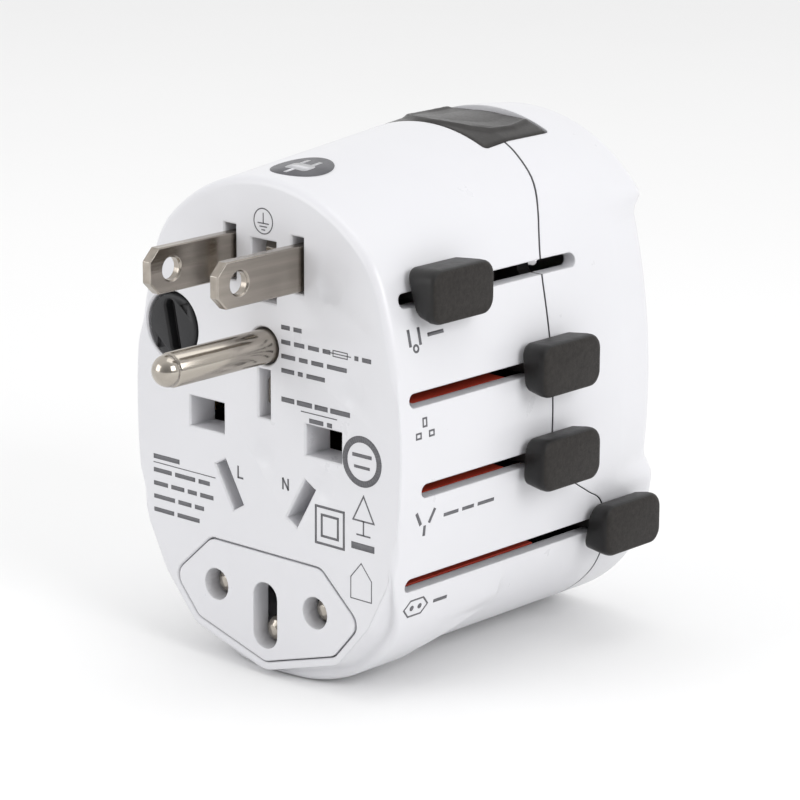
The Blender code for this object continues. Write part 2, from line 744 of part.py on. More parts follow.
def build_knob(name, knob, material, lift=0.0):
    """Rounded knob whose inner side follows the body, with a slightly crowned face."""
    face = side_x(knob[1]) + knob_rise
    levels = ((None, 0.9), (face - 1.2 * mm, 1.0), (face - 0.3 * mm, 0.955), (face, 0.84))
    rings = []
    for level, scale in levels:
        corners = rectangle(knob[0], knob[1] + lift, knob_length * scale, knob_height * scale)
        ring = []
        for y, z in rounded(corners, 1.9 * mm * scale, 4):
            x = side_x(z) + knob_clearance if level is None else level
            ring.append(place(x, y, z))
        rings.append(ring)
    made = loft(name, rings, material)
    return smooth(made, 40)


def build_carriage(name, outline, holes, front, knob, material, start=link_end):
    points = [(x * mm, z * mm) for x, z in outline]
    carriage = slab_y(name, [points] + holes, front, front + carriage_wall, material)
    add_stem(carriage, knob, start)
    return carriage


def slide_frame(name, knob):
    """Empty on a slide's line, which its pieces are parented to."""
    frame = bpy.data.objects.new(name, None)
    frame.location = place(side_x(knob[1]), knob[0], knob[1])
    parts.objects.link(frame)
    bpy.context.view_layer.update()
    return frame


def build_usa(black, nickel):
    front = carriage_front
    back = front + carriage_wall + 0.6 * mm
    end = usa_link_end / mm
    outline = [(-9.5, 30.3), (9.5, 30.3), (9.5, 23.0), (end, 23.0), (end, 20.1), (4.9, 20.1),
               (4.9, 27.0), (-4.9, 27.0), (-4.9, 14.4), (2.9, 14.4), (2.9, 9.6), (-9.5, 9.6)]
    ground = (0, usa_line - usa_ground_drop)
    holes = [tail_hole(side * usa_pitch / 2, usa_line, usa_blade[0], usa_blade[1] - 2 * mm)
             for side in (-1, 1)]
    holes.append(circle(*ground, 1.5 * mm + 0.15 * mm, 16))
    pieces = [build_knob("usa_knob", usa_knob, black, usa_knob_lift),
              build_carriage("usa_carriage", outline, holes, front, usa_knob, black,
                             usa_link_end)]
    for name, side in (("usa_blade_left", -1), ("usa_blade_right", 1)):
        pieces.append(flat_blade(name, usa_blade[0], usa_blade[1], -usa_blade[2], back,
                                 (side * usa_pitch / 2, usa_line), 0, nickel, True))
    pieces.append(round_pin("usa_ground_pin", usa_ground_radius, -usa_ground_length, back,
                            ground, nickel, 1.5 * mm))
    return pieces


def build_uk(black, nickel, steel):
    front = carriage_front + uk_travel
    back = front + carriage_wall + 0.6 * mm
    floor = arm_floor(uk_knob) / mm
    end = link_end / mm
    outline = [(-4.4, 26.6), (4.4, 26.6), (4.4, 19.6), (13.6, 19.6), (13.6, floor + 4),
               (end, floor + 4), (end, floor), (13.6, floor), (13.6, -2.6), (8.6, -2.6),
               (8.6, 8.3), (12.8, 8.3), (12.8, 9.16), (8.6, 9.16), (8.6, 14.9), (-4.4, 14.9)]
    tail = (uk_pin[0] - 2.4 * mm, uk_pin[1] - 1.6 * mm)
    holes = [tail_hole(uk_pitch / 2, 0, *tail),
             tail_hole(0, uk_earth_line, uk_earth[0] - 2.4 * mm, uk_earth[1] - 1.6 * mm)]
    pieces = [build_knob("uk_knob", uk_knob, black, uk_knob_lift),
              build_carriage("uk_carriage", outline, holes, front, uk_knob, black)]
    holder = [(-13.4, -2.6), (-8.6, -2.6), (-8.6, 8.2), (-13.4, 8.2)]
    pieces.append(slab_y("uk_live_holder", [[(x * mm, z * mm) for x, z in holder],
                                            tail_hole(-uk_pitch / 2, 0, *tail)],
                         front, front + carriage_wall, black))
    pieces.append(box("uk_bridge", (-12.8 * mm, front, 8.48 * mm),
                      (12.6 * mm, front + carriage_wall, 8.98 * mm), steel))
    retracted = -uk_pin[2] + uk_travel
    for name, side in (("uk_live_pin", -1), ("uk_neutral_pin", 1)):
        pieces.append(square_pin(name, uk_pin[0], uk_pin[1], retracted, back,
                                 (side * uk_pitch / 2, 0), nickel))
    pieces.append(square_pin("uk_earth_pin", uk_earth[0], uk_earth[1],
                             -uk_earth[2] + uk_travel, back, (0, uk_earth_line), nickel))
    return pieces


def build_aus(black, nickel):
    front = carriage_front + aus_travel
    back = front + carriage_wall + 0.6 * mm
    floor = arm_floor(aus_knob) / mm
    end = link_end / mm
    outline = [(-9.8, -13.6), (9.8, -13.6), (9.8, floor), (end, floor), (end, -3.0),
               (3.2, -3.0), (3.2, 8.1), (-3.2, 8.1), (-3.2, -3.0), (-9.8, -3.0)]
    tail = (aus_blade[0], aus_blade[1] - 2 * mm)
    holes = [tail_hole(side * aus_pitch / 2, aus_line, *tail, side * -aus_tilt)
             for side in (-1, 1)]
    holes.append(tail_hole(0, aus_earth_line, *tail))
    pieces = [build_knob("aus_knob", aus_knob, black),
              build_carriage("aus_carriage", outline, holes, front, aus_knob, black)]
    for name, side in (("aus_live_blade", -1), ("aus_neutral_blade", 1)):
        pieces.append(flat_blade(name, aus_blade[0], aus_blade[1], -aus_blade[2] + aus_travel,
                                 back, (side * aus_pitch / 2, aus_line), side * -aus_tilt,
                                 nickel))
    pieces.append(flat_blade("aus_earth_blade", aus_blade[0], aus_blade[1],
                             -aus_earth_length + aus_travel, back, (0, aus_earth_line), 0,
                             nickel))
    return pieces


def build_euro(black, nickel):
    front = euro_carriage_front
    back = front + carriage_wall + 0.6 * mm
    floor = arm_floor(euro_knob) / mm
    end = link_end / mm
    outline = [(-9.0, -31.8), (9.0, -31.8), (12.5, -29.0), (12.5, floor), (end, floor),
               (end, -16.4), (6.0, -16.4), (6.0, -20.5), (-12.5, -20.5), (-12.5, -29.0)]
    earth_z = euro_line - euro_earth_drop
    slot = [(x, z) for x, z in rounded(
        rectangle(0, earth_z + euro_earth_drop / 2, 3.0 * mm, 3.0 * mm + euro_earth_drop),
        1.45 * mm, 4)]
    holes = [circle(side * euro_pitch / 2, euro_line, 1.3 * mm + 0.15 * mm, 16)
             for side in (-1, 1)]
    pieces = [build_knob("euro_knob", euro_knob, black),
              build_carriage("euro_carriage", outline, holes + [slot], front, euro_knob, black)]
    for name, side in (("euro_pin_left", -1), ("euro_pin_right", 1)):
        pieces.append(round_pin(name, euro_radius, euro_recess, back,
                                (side * euro_pitch / 2, euro_line), nickel, 1.3 * mm))
    earth = round_pin("euro_earth_pin", euro_radius, euro_recess, back, (0, earth_z), nickel,
                      1.3 * mm)
    return pieces, earth


def build_insert(white):
    """Hexagonal insert: a cup whose front plate guides the round pins."""
    cup = slab_y("euro_insert", [insert_outline(0)], 0.0, euro_insert_length, white)
    hollow = slab_y("insert_hollow", [insert_outline(-1.6 * mm, 0.6 * mm)], 3 * mm,
                    euro_insert_length + 5 * mm, None, cutters)
    boolean(cup, hide_cutter(hollow))
    for i, side in enumerate((-1, 1)):
        hole = slab_y("insert_round_%d" % i,
                      [circle(side * euro_pitch / 2, euro_line, euro_radius + hole_play, 20)],
                      -5 * mm, 5 * mm, None, cutters)
        boolean(cup, hide_cutter(hole))
    slot = rounded(rectangle(0, euro_line - euro_earth_drop / 2, 2 * (euro_radius + hole_play),
                             2 * (euro_radius + hole_play) + euro_earth_drop), 2.2 * mm, 6)
    hole = slab_y("insert_slot", [slot], -5 * mm, 5 * mm, None, cutters)
    boolean(cup, hide_cutter(hole))
    return cup


def build_fuse(black, glass, brass):
    x, z = fuse_centre
    cap = turned("fuse_cap", [(0, 0), (0, fuse_cap_radius - 0.3 * mm), (0.3 * mm, fuse_cap_radius),
                              (face_wall - 0.2 * mm, fuse_cap_radius), (face_wall - 0.2 * mm, 3.1 * mm),
                              (5 * mm, 3.1 * mm), (5 * mm, 0)],
                 place(x, 0.1 * mm, z), (0, 1, 0), 32, black)
    slot = slab_y("cap_slot", [rounded(rectangle(x, z, 1.8 * mm, 7.6 * mm, cap_slot_tilt),
                                       0.8 * mm)], -1 * mm, 1.5 * mm, None, cutters)
    boolean(cap, hide_cutter(slot))
    start = 5.1 * mm + gap
    fuse = turned("fuse", [(0, 0), (0, fuse_radius), (5 * mm, fuse_radius),
                           (5 * mm, fuse_radius - 0.2 * mm),
                           (fuse_length - 5 * mm, fuse_radius - 0.2 * mm),
                           (fuse_length - 5 * mm, fuse_radius), (fuse_length, fuse_radius),
                           (fuse_length, 0)],
                  place(x, start, z), (0, 1, 0), 24, glass)
    sleeve = turned("fuse_sleeve", [(0, 3.45 * mm), (0, 4.1 * mm), (27.4 * mm, 4.1 * mm),
                                    (27.4 * mm, 3.45 * mm), (0, 3.45 * mm)],
                    place(x, guide_front, z), (0, 1, 0), 24, black)
    clip = turned("fuse_clip", [(0, 0), (0, 3.9 * mm), (0.8 * mm, 3.9 * mm), (0.8 * mm, 0)],
                  place(x, start + fuse_length + gap, z), (0, 1, 0), 20, brass)
    return cap, fuse, sleeve, clip


def build_button(black):
    """Curved key that follows the arched top, flush with it."""
    rings = []
    for y in (button_front, 37 * mm, 42 * mm, button_back):
        ring = []
        centre = crest(y) - arch_radius
        for radius, order in ((arch_radius - 0.1 * mm, 1), (arch_radius - button_wall, -1)):
            half = math.asin(button_half / radius)
            for i in range(-6, 7):
                angle = order * half * i / 6
                ring.append(place(radius * math.sin(angle), y, centre + radius * math.cos(angle)))
        rings.append(ring)
    return loft("release_button", rings, black)


def build_springs(steel):
    made = []
    turns, per_turn = 5, 12
    low = 30.4 * mm + gap + spring_wire
    for name, side in (("button_spring_left", -1), ("button_spring_right", 1)):
        high = crest(spring_y) - arch_radius + math.sqrt(
            (arch_radius - button_wall) ** 2 - (spring_x + spring_radius) ** 2)
        high -= gap + spring_wire
        curve = bpy.data.curves.new(name, "CURVE")
        curve.dimensions = "3D"
        curve.bevel_depth = spring_wire
        curve.bevel_resolution = 0
        curve.use_fill_caps = True
        spline = curve.splines.new("POLY")
        count = turns * per_turn
        spline.points.add(count)
        for i in range(count + 1):
            angle = 2 * math.pi * i / per_turn
            centre = place(side * spring_x + spring_radius * math.cos(angle),
                           spring_y + spring_radius * math.sin(angle),
                           low + (high - low) * i / count)
            spline.points[i].co = (*centre, 1)
        drawn = bpy.data.objects.new(name, curve)
        parts.objects.link(drawn)
        graph = bpy.context.evaluated_depsgraph_get()
        mesh = bpy.data.meshes.new_from_object(drawn.evaluated_get(graph))
        bpy.data.objects.remove(drawn, do_unlink=True)
        bpy.data.curves.remove(curve)
        shape = bmesh.new()
        shape.from_mesh(mesh)
        bmesh.ops.remove_doubles(shape, verts=shape.verts, dist=0.001 * mm)
        shape.to_mesh(mesh)
        shape.free()
        made.append(link(name, mesh, steel))
    return made


def main():
    white = make_material("white_plastic", (0.86, 0.86, 0.88), 0.35)
    black = make_material("dark_plastic", (0.06, 0.055, 0.052), 0.5)
    red = make_material("red_plastic", (0.45, 0.06, 0.04), 0.45)
    nickel = make_material("nickel_plate", (0.66, 0.62, 0.56), 0.25, 1.0)
    brass = make_material("brass", (0.72, 0.52, 0.22), 0.3, 1.0)
    steel = make_material("steel", (0.55, 0.55, 0.56), 0.3, 1.0)
    ceramic = make_material("fuse_body", (0.8, 0.78, 0.72), 0.4)

    build_housing(white)
    build_socket_plate(white)
    build_guides(red)
    build_carrier(black)
    build_busbars(brass)
    build_screws(steel)
    for name, knob, pieces in (("usa_slide", usa_knob, build_usa(black, nickel)),
                               ("uk_slide", uk_knob, build_uk(black, nickel, steel)),
                               ("aus_slide", aus_knob, build_aus(black, nickel))):
        frame = slide_frame(name, knob)
        for piece in pieces:
            parent_keep(piece, frame)
    pieces, earth = build_euro(black, nickel)
    frame = slide_frame("euro_slide", euro_knob)
    for piece in pieces + [earth]:
        parent_keep(piece, frame)
    build_insert(white)
    cap, fuse, _, _ = build_fuse(black, ceramic, brass)
    parent_keep(cap, fuse)
    build_button(black)
    build_springs(steel)


clear_scene()
parts = bpy.data.collections.new("travel_adapter")
cutters = bpy.data.collections.new("cutters")
bpy.context.scene.collection.children.link(parts)
bpy.context.scene.collection.children.link(cutters)
main()
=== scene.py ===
"""Looks of the travel adapter: fine shells, printed marks, materials, light and camera."""
import json
import math

import bmesh
import bpy
from mathutils import Matrix, Vector


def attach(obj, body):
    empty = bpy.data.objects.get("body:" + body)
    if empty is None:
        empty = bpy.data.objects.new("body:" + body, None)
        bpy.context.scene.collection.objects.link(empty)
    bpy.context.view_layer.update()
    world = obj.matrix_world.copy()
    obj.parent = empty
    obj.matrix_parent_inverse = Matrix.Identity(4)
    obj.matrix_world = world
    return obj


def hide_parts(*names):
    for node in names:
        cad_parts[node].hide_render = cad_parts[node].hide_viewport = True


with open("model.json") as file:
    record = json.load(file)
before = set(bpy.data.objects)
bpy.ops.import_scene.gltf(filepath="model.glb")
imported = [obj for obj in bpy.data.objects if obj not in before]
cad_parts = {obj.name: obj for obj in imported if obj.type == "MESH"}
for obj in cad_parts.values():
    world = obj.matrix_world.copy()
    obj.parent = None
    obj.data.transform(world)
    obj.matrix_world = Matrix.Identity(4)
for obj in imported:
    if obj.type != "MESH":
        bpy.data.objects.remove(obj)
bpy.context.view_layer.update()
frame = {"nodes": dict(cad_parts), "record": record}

mm = 0.001

# ---- the body, as in the frame -----------------------------------------------------------
depth_total = 57.5 * mm       # plug face to socket face
half_width = 25.2 * mm
pin_line = 35.5 * mm          # height of the pin line above the base
arch_radius = 26.3 * mm       # curvature of the top
side_radius_up = 70           # curvature of the sides above the pin line, in mm
side_radius_rear = 92         # and at the back
side_radius_down = 95         # and below the pin line
corner_radius = 12.3 * mm     # lower corners around the plug face
corner_radius_rear = 15.5 * mm
wall = 2 * mm
grip_start = 46.5 * mm        # finger grips at the back of both sides
rear_edge = 3 * mm            # rounding around the socket end
step_depth_high = 23.6 * mm   # where the step between the corner shapes meets the sides
step_length = 0.8 * mm

# ---- knobs (y, z, lift), slots (front, back, z) and outlines, in millimetres ---------------
button_half, button_front, button_back = 10.8, 33.15, 46.8
usa_line = 23.6
usa_ground_line = 11.71
fuse_centre = (-17.8, 11.6)
knobs = {"usa": (10.5, 20.9, 0.8), "uk": (30.2, 7.9, 0.5), "aus": (30.2, -4.9, 0.0),
         "euro": (46.3, -18.3, 0.1)}
slots = {"usa": (2.9, 39.3, 20.9), "uk": (2.1, 34.4, 7.9), "aus": (4.3, 34.4, -4.9),
         "euro": (2.9, 50.5, -18.3)}
insert_corners = [(10.5, -17.9), (17.7, -24.4), (13.0, -29.8), (0.0, -33.6),
                  (-13.0, -29.8), (-17.7, -24.4), (-10.5, -17.9)]


# ---- materials -------------------------------------------------------------------------
class Tree:
    """Short way to add nodes and wire them."""

    def __init__(self, name):
        self.material = bpy.data.materials.new(name)
        self.material.use_nodes = True
        self.nodes = self.material.node_tree.nodes
        self.links = self.material.node_tree.links
        self.shader = self.nodes["Principled BSDF"]
        self.place = self.nodes.new("ShaderNodeTexCoord").outputs["Object"]

    def add(self, kind, values=None, **settings):
        node = self.nodes.new(kind)
        for key, value in settings.items():
            setattr(node, key, value)
        for key, value in (values or {}).items():
            self.set(node.inputs[key], value)
        return node

    def set(self, socket, value):
        if isinstance(value, bpy.types.NodeSocket):
            self.links.new(value, socket)
        else:
            socket.default_value = value

    def noise(self, scale, detail=4.0, stretch=None):
        source = self.place
        if stretch is not None:
            source = self.add("ShaderNodeMapping", {"Vector": source, "Scale": stretch}).outputs[0]
        made = self.add("ShaderNodeTexNoise", {"Vector": source, "Scale": scale,
                                               "Detail": detail, "Roughness": 0.6})
        return made.outputs["Fac"]

    def ramp(self, value, low, high, start=0.0, end=1.0):
        made = self.add("ShaderNodeMapRange", {"Value": value, "From Min": low, "From Max": high,
                                               "To Min": start, "To Max": end})
        return made.outputs[0]

    def blend(self, factor, first, second):
        made = self.add("ShaderNodeMix", data_type="RGBA", blend_type="MIX")
        self.set(made.inputs[0], factor)
        self.set(made.inputs[6], first)
        self.set(made.inputs[7], second)
        return made.outputs[2]

    def maths(self, operation, first, second=0.0, clamp=False):
        made = self.add("ShaderNodeMath", operation=operation, use_clamp=clamp)
        self.set(made.inputs[0], first)
        self.set(made.inputs[1], second)
        return made.outputs[0]


def colour(r, g, b):
    return (r, g, b, 1.0)


def surface(name, base, roughness, metallic=0.0, uneven=0.04, cloud=60, rough_range=0.05,
            grain=None, grain_strength=0.1, stretch=None, edge=0.25 * mm, worn=None,
            worn_amount=0.5, coat=0.0, specular=0.5):
    """Plastic or metal with uneven colour, uneven roughness, grain and soft worn edges."""
    tree = Tree(name)
    clouds = tree.noise(cloud, 4, stretch)
    dark = colour(*[c * (1 - uneven) for c in base])
    light = colour(*[min(c * (1 + uneven), 1) for c in base])
    shade = tree.blend(tree.ramp(clouds, 0.3, 0.7), dark, light)
    bevel = tree.add("ShaderNodeBevel", {"Radius": edge}, samples=4).outputs[0]
    if worn is not None:
        flat = tree.add("ShaderNodeNewGeometry").outputs["Normal"]
        dot = tree.add("ShaderNodeVectorMath", operation="DOT_PRODUCT")
        tree.set(dot.inputs[0], bevel)
        tree.set(dot.inputs[1], flat)
        near = tree.ramp(dot.outputs["Value"], 0.995, 0.85)
        patch = tree.ramp(tree.noise(900, 3), 0.35, 0.65, 0.4, 1.0)
        mask = tree.maths("MULTIPLY", tree.maths("MULTIPLY", near, patch), worn_amount, True)
        shade = tree.blend(mask, shade, colour(*worn))
    tree.set(tree.shader.inputs["Base Color"], shade)
    rough = tree.ramp(tree.noise(cloud * 3, 5, stretch), 0.3, 0.7,
                      roughness - rough_range, roughness + rough_range)
    tree.set(tree.shader.inputs["Roughness"], rough)
    tree.shader.inputs["Metallic"].default_value = metallic
    tree.shader.inputs["Specular IOR Level"].default_value = specular
    tree.shader.inputs["Coat Weight"].default_value = coat
    tree.shader.inputs["Coat Roughness"].default_value = 0.15
    if grain is None:
        tree.set(tree.shader.inputs["Normal"], bevel)
    else:
        height = tree.noise(grain, 3, stretch)
        bump = tree.add("ShaderNodeBump", {"Height": height, "Strength": grain_strength,
                                           "Distance": 0.05 * mm, "Normal": bevel})
        tree.set(tree.shader.inputs["Normal"], bump.outputs[0])
    return tree.material


white = surface("shell_white", (0.68, 0.68, 0.705), 0.30, uneven=0.012, cloud=40,
                rough_range=0.03, grain=1500, grain_strength=0.05, edge=0.3 * mm,
                worn=(0.80, 0.80, 0.82), worn_amount=0.5, coat=0.1)
# Near-black colour for the inside faces of the white shell: partly the black inner parts, partly
# painted shade inside the body.
inner_parts_and_painted_shade = surface("inner_parts_and_painted_shade", (0.018, 0.017, 0.017), 0.55, uneven=0.1, grain=1200)
knob_face = surface("knob_face", (0.022, 0.0195, 0.018), 0.50, uneven=0.28, cloud=1300,
                    rough_range=0.08, grain=2600, grain_strength=0.5, edge=0.5 * mm,
                    worn=(0.055, 0.049, 0.045), worn_amount=0.6, specular=0.2)
knob_side = surface("knob_side", (0.012, 0.0115, 0.0115), 0.42, uneven=0.12, cloud=300,
                    grain=1800, grain_strength=0.25, edge=0.5 * mm,
                    worn=(0.07, 0.065, 0.06), worn_amount=0.5, specular=0.3)
dark_plastic = surface("dark_plastic", (0.022, 0.021, 0.021), 0.45, uneven=0.15, cloud=300,
                       grain=1600, grain_strength=0.3, edge=0.2 * mm,
                       worn=(0.07, 0.065, 0.06), worn_amount=0.5)
cap_dark = surface("cap_dark", (0.022, 0.022, 0.024), 0.42, uneven=0.12, cloud=300,
                   grain=1600, grain_strength=0.25, edge=0.2 * mm,
                   worn=(0.09, 0.09, 0.09), worn_amount=0.5, specular=0.3)
button_dark = surface("button_dark", (0.028, 0.026, 0.025), 0.36, uneven=0.15, cloud=900,
                      grain=2600, grain_strength=0.3, edge=0.3 * mm,
                      worn=(0.10, 0.095, 0.09), worn_amount=0.6, specular=0.3)
red = surface("guide_red", (0.56, 0.055, 0.03), 0.38, uneven=0.08, cloud=200, grain=900,
              worn=(0.5, 0.1, 0.07), worn_amount=0.4)
nickel = surface("pin_nickel", (0.36, 0.325, 0.285), 0.21, 1.0, uneven=0.2, cloud=500,
                 rough_range=0.06, grain=1400, grain_strength=0.35, stretch=(1, 0.04, 1),
                 edge=0.15 * mm, worn=(0.86, 0.83, 0.79), worn_amount=0.6)
nickel_round = surface("round_pin_nickel", (0.42, 0.385, 0.34), 0.16, 1.0, uneven=0.14,
                       cloud=400, rough_range=0.05, grain=1400, grain_strength=0.22,
                       stretch=(1, 0.05, 1), edge=0.1 * mm, worn=(0.86, 0.83, 0.79))
brass = surface("brass_strip", (0.70, 0.48, 0.20), 0.28, 1.0, uneven=0.1, cloud=150,
                grain=900, worn=(0.9, 0.72, 0.4))
steel = surface("screw_steel", (0.55, 0.55, 0.56), 0.28, 1.0, uneven=0.08, cloud=250,
                grain=1400, worn=(0.75, 0.75, 0.76))
ceramic = surface("fuse_ceramic", (0.74, 0.72, 0.66), 0.32, uneven=0.03, cloud=120, grain=800,
                  worn=(0.85, 0.83, 0.8))
ink = surface("print_grey", (0.11, 0.11, 0.12), 0.45, uneven=0.12, cloud=700, grain=2500,
              worn=(0.4, 0.4, 0.4), worn_amount=0.3, edge=0.02 * mm)
ink_line = surface("seam_grey", (0.16, 0.16, 0.17), 0.5, uneven=0.05, cloud=200, grain=900)


def guide_material():
    """Red shelves behind a light guide plate, told apart by depth."""
    tree = Tree("guide_two_tone")
    axis = tree.add("ShaderNodeSeparateXYZ", {"Vector": tree.place}).outputs[1]
    back = tree.ramp(axis, -0.0243, -0.0237)
    clouds = tree.ramp(tree.noise(200), 0.3, 0.7)
    reds = tree.blend(clouds, colour(0.52, 0.05, 0.025), colour(0.60, 0.065, 0.035))
    greys = tree.blend(clouds, colour(0.55, 0.54, 0.60), colour(0.60, 0.59, 0.65))
    tree.set(tree.shader.inputs["Base Color"], tree.blend(back, greys, reds))
    tree.set(tree.shader.inputs["Roughness"], tree.ramp(tree.noise(400), 0.3, 0.7, 0.34, 0.44))
    bump = tree.add("ShaderNodeBump", {"Height": tree.noise(900), "Strength": 0.1,
                                       "Distance": 0.05 * mm})
    tree.set(tree.shader.inputs["Normal"], bump.outputs[0])
    return tree.material


# ---- shapes ----------------------------------------------------------------------------
pieces = bpy.data.collections.new("adapter_pieces")
cutters = bpy.data.collections.new("cutters")
bpy.context.scene.collection.children.link(pieces)
bpy.context.scene.collection.children.link(cutters)


def place(x, y, z):
    """Plug-face coordinates to world coordinates."""
    return Vector((x, y - depth_total / 2, z + pin_line))


def from_bmesh(name, shape, materials, group=None, angle=30):
    mesh = bpy.data.meshes.new(name)
    shape.to_mesh(mesh)
    shape.free()
    made = bpy.data.objects.new(name, mesh)
    (group or pieces).objects.link(made)
    for material in materials:
        mesh.materials.append(material)
    mesh.shade_smooth()
    mesh.set_sharp_from_angle(angle=math.radians(angle))
    return made


def loft(name, rings, materials, group=None, angle=30, cap_material=None):
    shape = bmesh.new()
    made = [[shape.verts.new(point) for point in ring] for ring in rings]
    for first, second in zip(made, made[1:]):
        for i in range(len(first)):
            j = (i + 1) % len(first)
            shape.faces.new((first[i], first[j], second[j], second[i]))
    shape.faces.new(list(reversed(made[0])))
    last = shape.faces.new(made[-1])
    bmesh.ops.recalc_face_normals(shape, faces=shape.faces)
    if cap_material is not None:
        last.material_index = cap_material
    return from_bmesh(name, shape, materials, group, angle)


def cutter_loft(name, rings, material):
    made = loft(name, rings, [material], cutters)
    made.hide_render = True
    made.display_type = "WIRE"
    return made


def boolean(made, other, operation="DIFFERENCE"):
    step = made.modifiers.new(operation.lower(), "BOOLEAN")
    step.object = other
    step.operation = operation
    step.solver = "EXACT"
    step.material_mode = "TRANSFER"


def rectangle(centre_x, centre_z, width, height, tilt=0.0):
    corners = [(-width / 2, -height / 2), (width / 2, -height / 2),
               (width / 2, height / 2), (-width / 2, height / 2)]
    return [(centre_x + x * math.cos(tilt) - z * math.sin(tilt),
             centre_z + x * math.sin(tilt) + z * math.cos(tilt)) for x, z in corners]


def circle(centre_x, centre_z, radius, count=48):
    return [(centre_x + radius * math.cos(2 * math.pi * i / count),
             centre_z + radius * math.sin(2 * math.pi * i / count)) for i in range(count)]


def rounded(corners, radius, count=8):
    outline = []
    for i, corner in enumerate(corners):
        here = Vector(corner)
        before = (Vector(corners[i - 1]) - here).normalized()
        after = (Vector(corners[(i + 1) % len(corners)]) - here).normalized()
        half = math.acos(max(-1, min(1, before.dot(after)))) / 2
        centre = here + (before + after).normalized() * (radius / math.sin(half))
        first = here + before * (radius / math.tan(half)) - centre
        last = here + after * (radius / math.tan(half)) - centre
        start = math.atan2(first.y, first.x)
        turn = (math.atan2(last.y, last.x) - start + math.pi) % (2 * math.pi) - math.pi
        for j in range(count + 1):
            angle = start + turn * j / count
            outline.append((centre.x + radius * math.cos(angle),
                            centre.y + radius * math.sin(angle)))
    return outline


def grown(corners, distance):
    """Outline moved outwards by a distance."""
    centre = sum((Vector(c) for c in corners), Vector((0, 0))) / len(corners)
    moved = []
    for i, corner in enumerate(corners):
        here = Vector(corner)
        before = (here - Vector(corners[i - 1])).normalized()
        after = (Vector(corners[(i + 1) % len(corners)]) - here).normalized()
        outward = (before - after)
        if outward.length < 1e-9:
            outward = Vector((before.y, -before.x))
        outward.normalize()
        if outward.dot(here - centre) < 0:
            outward = -outward
        half_turn = math.acos(max(-1, min(1, before.dot(after)))) / 2
        moved.append(tuple(here + outward * (distance / math.cos(half_turn))))
    return moved


def in_mm(points):
    return [(x * mm, z * mm) for x, z in points]


def level_rings(levels):
    """One ring per depth and outline, both in millimetres."""
    return [[place(x, y * mm, z) for x, z in in_mm(outline)] for y, outline in levels]


def crest(y):
    """Height of the top above the pin line: it rises, runs level and drops at the back."""
    rise = 3.8 * mm * min(max(y / (38 * mm), 0), 1)
    return 34.9 * mm + rise - 0.7 * mm * step(y, 47 * mm, depth_total)


def step(value, start, end):
    t = min(max((value - start) / (end - start), 0), 1)
    return t * t * (3 - 2 * t)


def round_max(a, b, radius):
    return min(-radius, max(a, b)) + math.hypot(max(radius + a, 0), max(radius + b, 0))


def step_depth(z):
    """Depth of the slanted step between the two corner shapes."""
    t = min(max((z + 31.0 * mm) / (5.7 * mm), 0), 1)
    return (12.0 + 11.6 * t) * mm


def body_distance(x, z, y, corner):
    """Distance of a point from the body's section at a depth; negative inside."""
    x = abs(x)
    back = side_radius_rear - side_radius_up
    up = side_radius_up + back * step(y, 33 * mm, 50 * mm)
    side_radius = (up if z > 0 else side_radius_down) * mm
    side = math.hypot(x - (half_width - side_radius), z) - side_radius
    centre = crest(y) - arch_radius
    top = math.hypot(x, max(z - centre, 0)) - arch_radius
    body = round_max(side, -pin_line - z, corner)
    return round_max(body, top, 0.8 * mm)


def outline_point(angle, y, inset, corner):
    """Where a ray from the pin line meets the section, found by halving."""
    dx, dz = math.cos(angle), math.sin(angle)
    low, high = 5 * mm, 60 * mm
    for _ in range(24):
        middle = (low + high) / 2
        if body_distance(dx * middle, dz * middle, y, corner) > -inset:
            high = middle
        else:
            low = middle
    return dx * low, dz * low


def grip(x, y, z):
    """Finger grips: both sides drawn in towards the back."""
    t = max((y - grip_start) / (11 * mm), 0)
    depth = 2.3 * mm * min(t, 1) * step(z, -14 * mm, -10 * mm) * (1 - step(z, 24.5 * mm, 28 * mm))
    return x - math.copysign(min(depth, abs(x)), x)


ring_count = 240
angles = [2 * math.pi * (i + 0.5) / ring_count for i in range(ring_count)]


def section(y, inset, corner, follow_step=None):
    ring = []
    for angle in angles:
        x, z = outline_point(angle, y, inset, corner)
        depth = y if follow_step is None else step_depth(z) + follow_step
        ring.append(place(grip(x, depth, z), depth, z))
    return ring


def rim_outline():
    """Edge of the flush part of the plug face; below it the surface dishes back."""
    low = grown(insert_corners, 1.3)
    points = [low[1], low[2], low[3], low[4], low[5], (-24.5, -14.5), (-24.5, 45), (24.5, 45),
              (24.5, -14.5)]
    return rounded(in_mm(points), 1.5 * mm, 6)


def ray_hit(outline, angle):
    direction = Vector((math.cos(angle), math.sin(angle)))
    best = None
    for i, first in enumerate(outline):
        a, b = Vector(outline[i - 1]), Vector(first)
        edge = b - a
        cross = direction.x * edge.y - direction.y * edge.x
        if abs(cross) < 1e-12:
            continue
        along = (a.x * edge.y - a.y * edge.x) / cross
        part = (a.x * direction.y - a.y * direction.x) / cross
        if along > 0 and -1e-6 <= part <= 1 + 1e-6:
            best = along if best is None else min(best, along)
    return best


def front_recess(x, z):
    """How far the lower front edge is drawn back from the plug face."""
    low = step(-z, 14.5 * mm, 27 * mm)
    return low * (1.9 + 1.1 * step(abs(x), 3 * mm, 15 * mm)) * mm


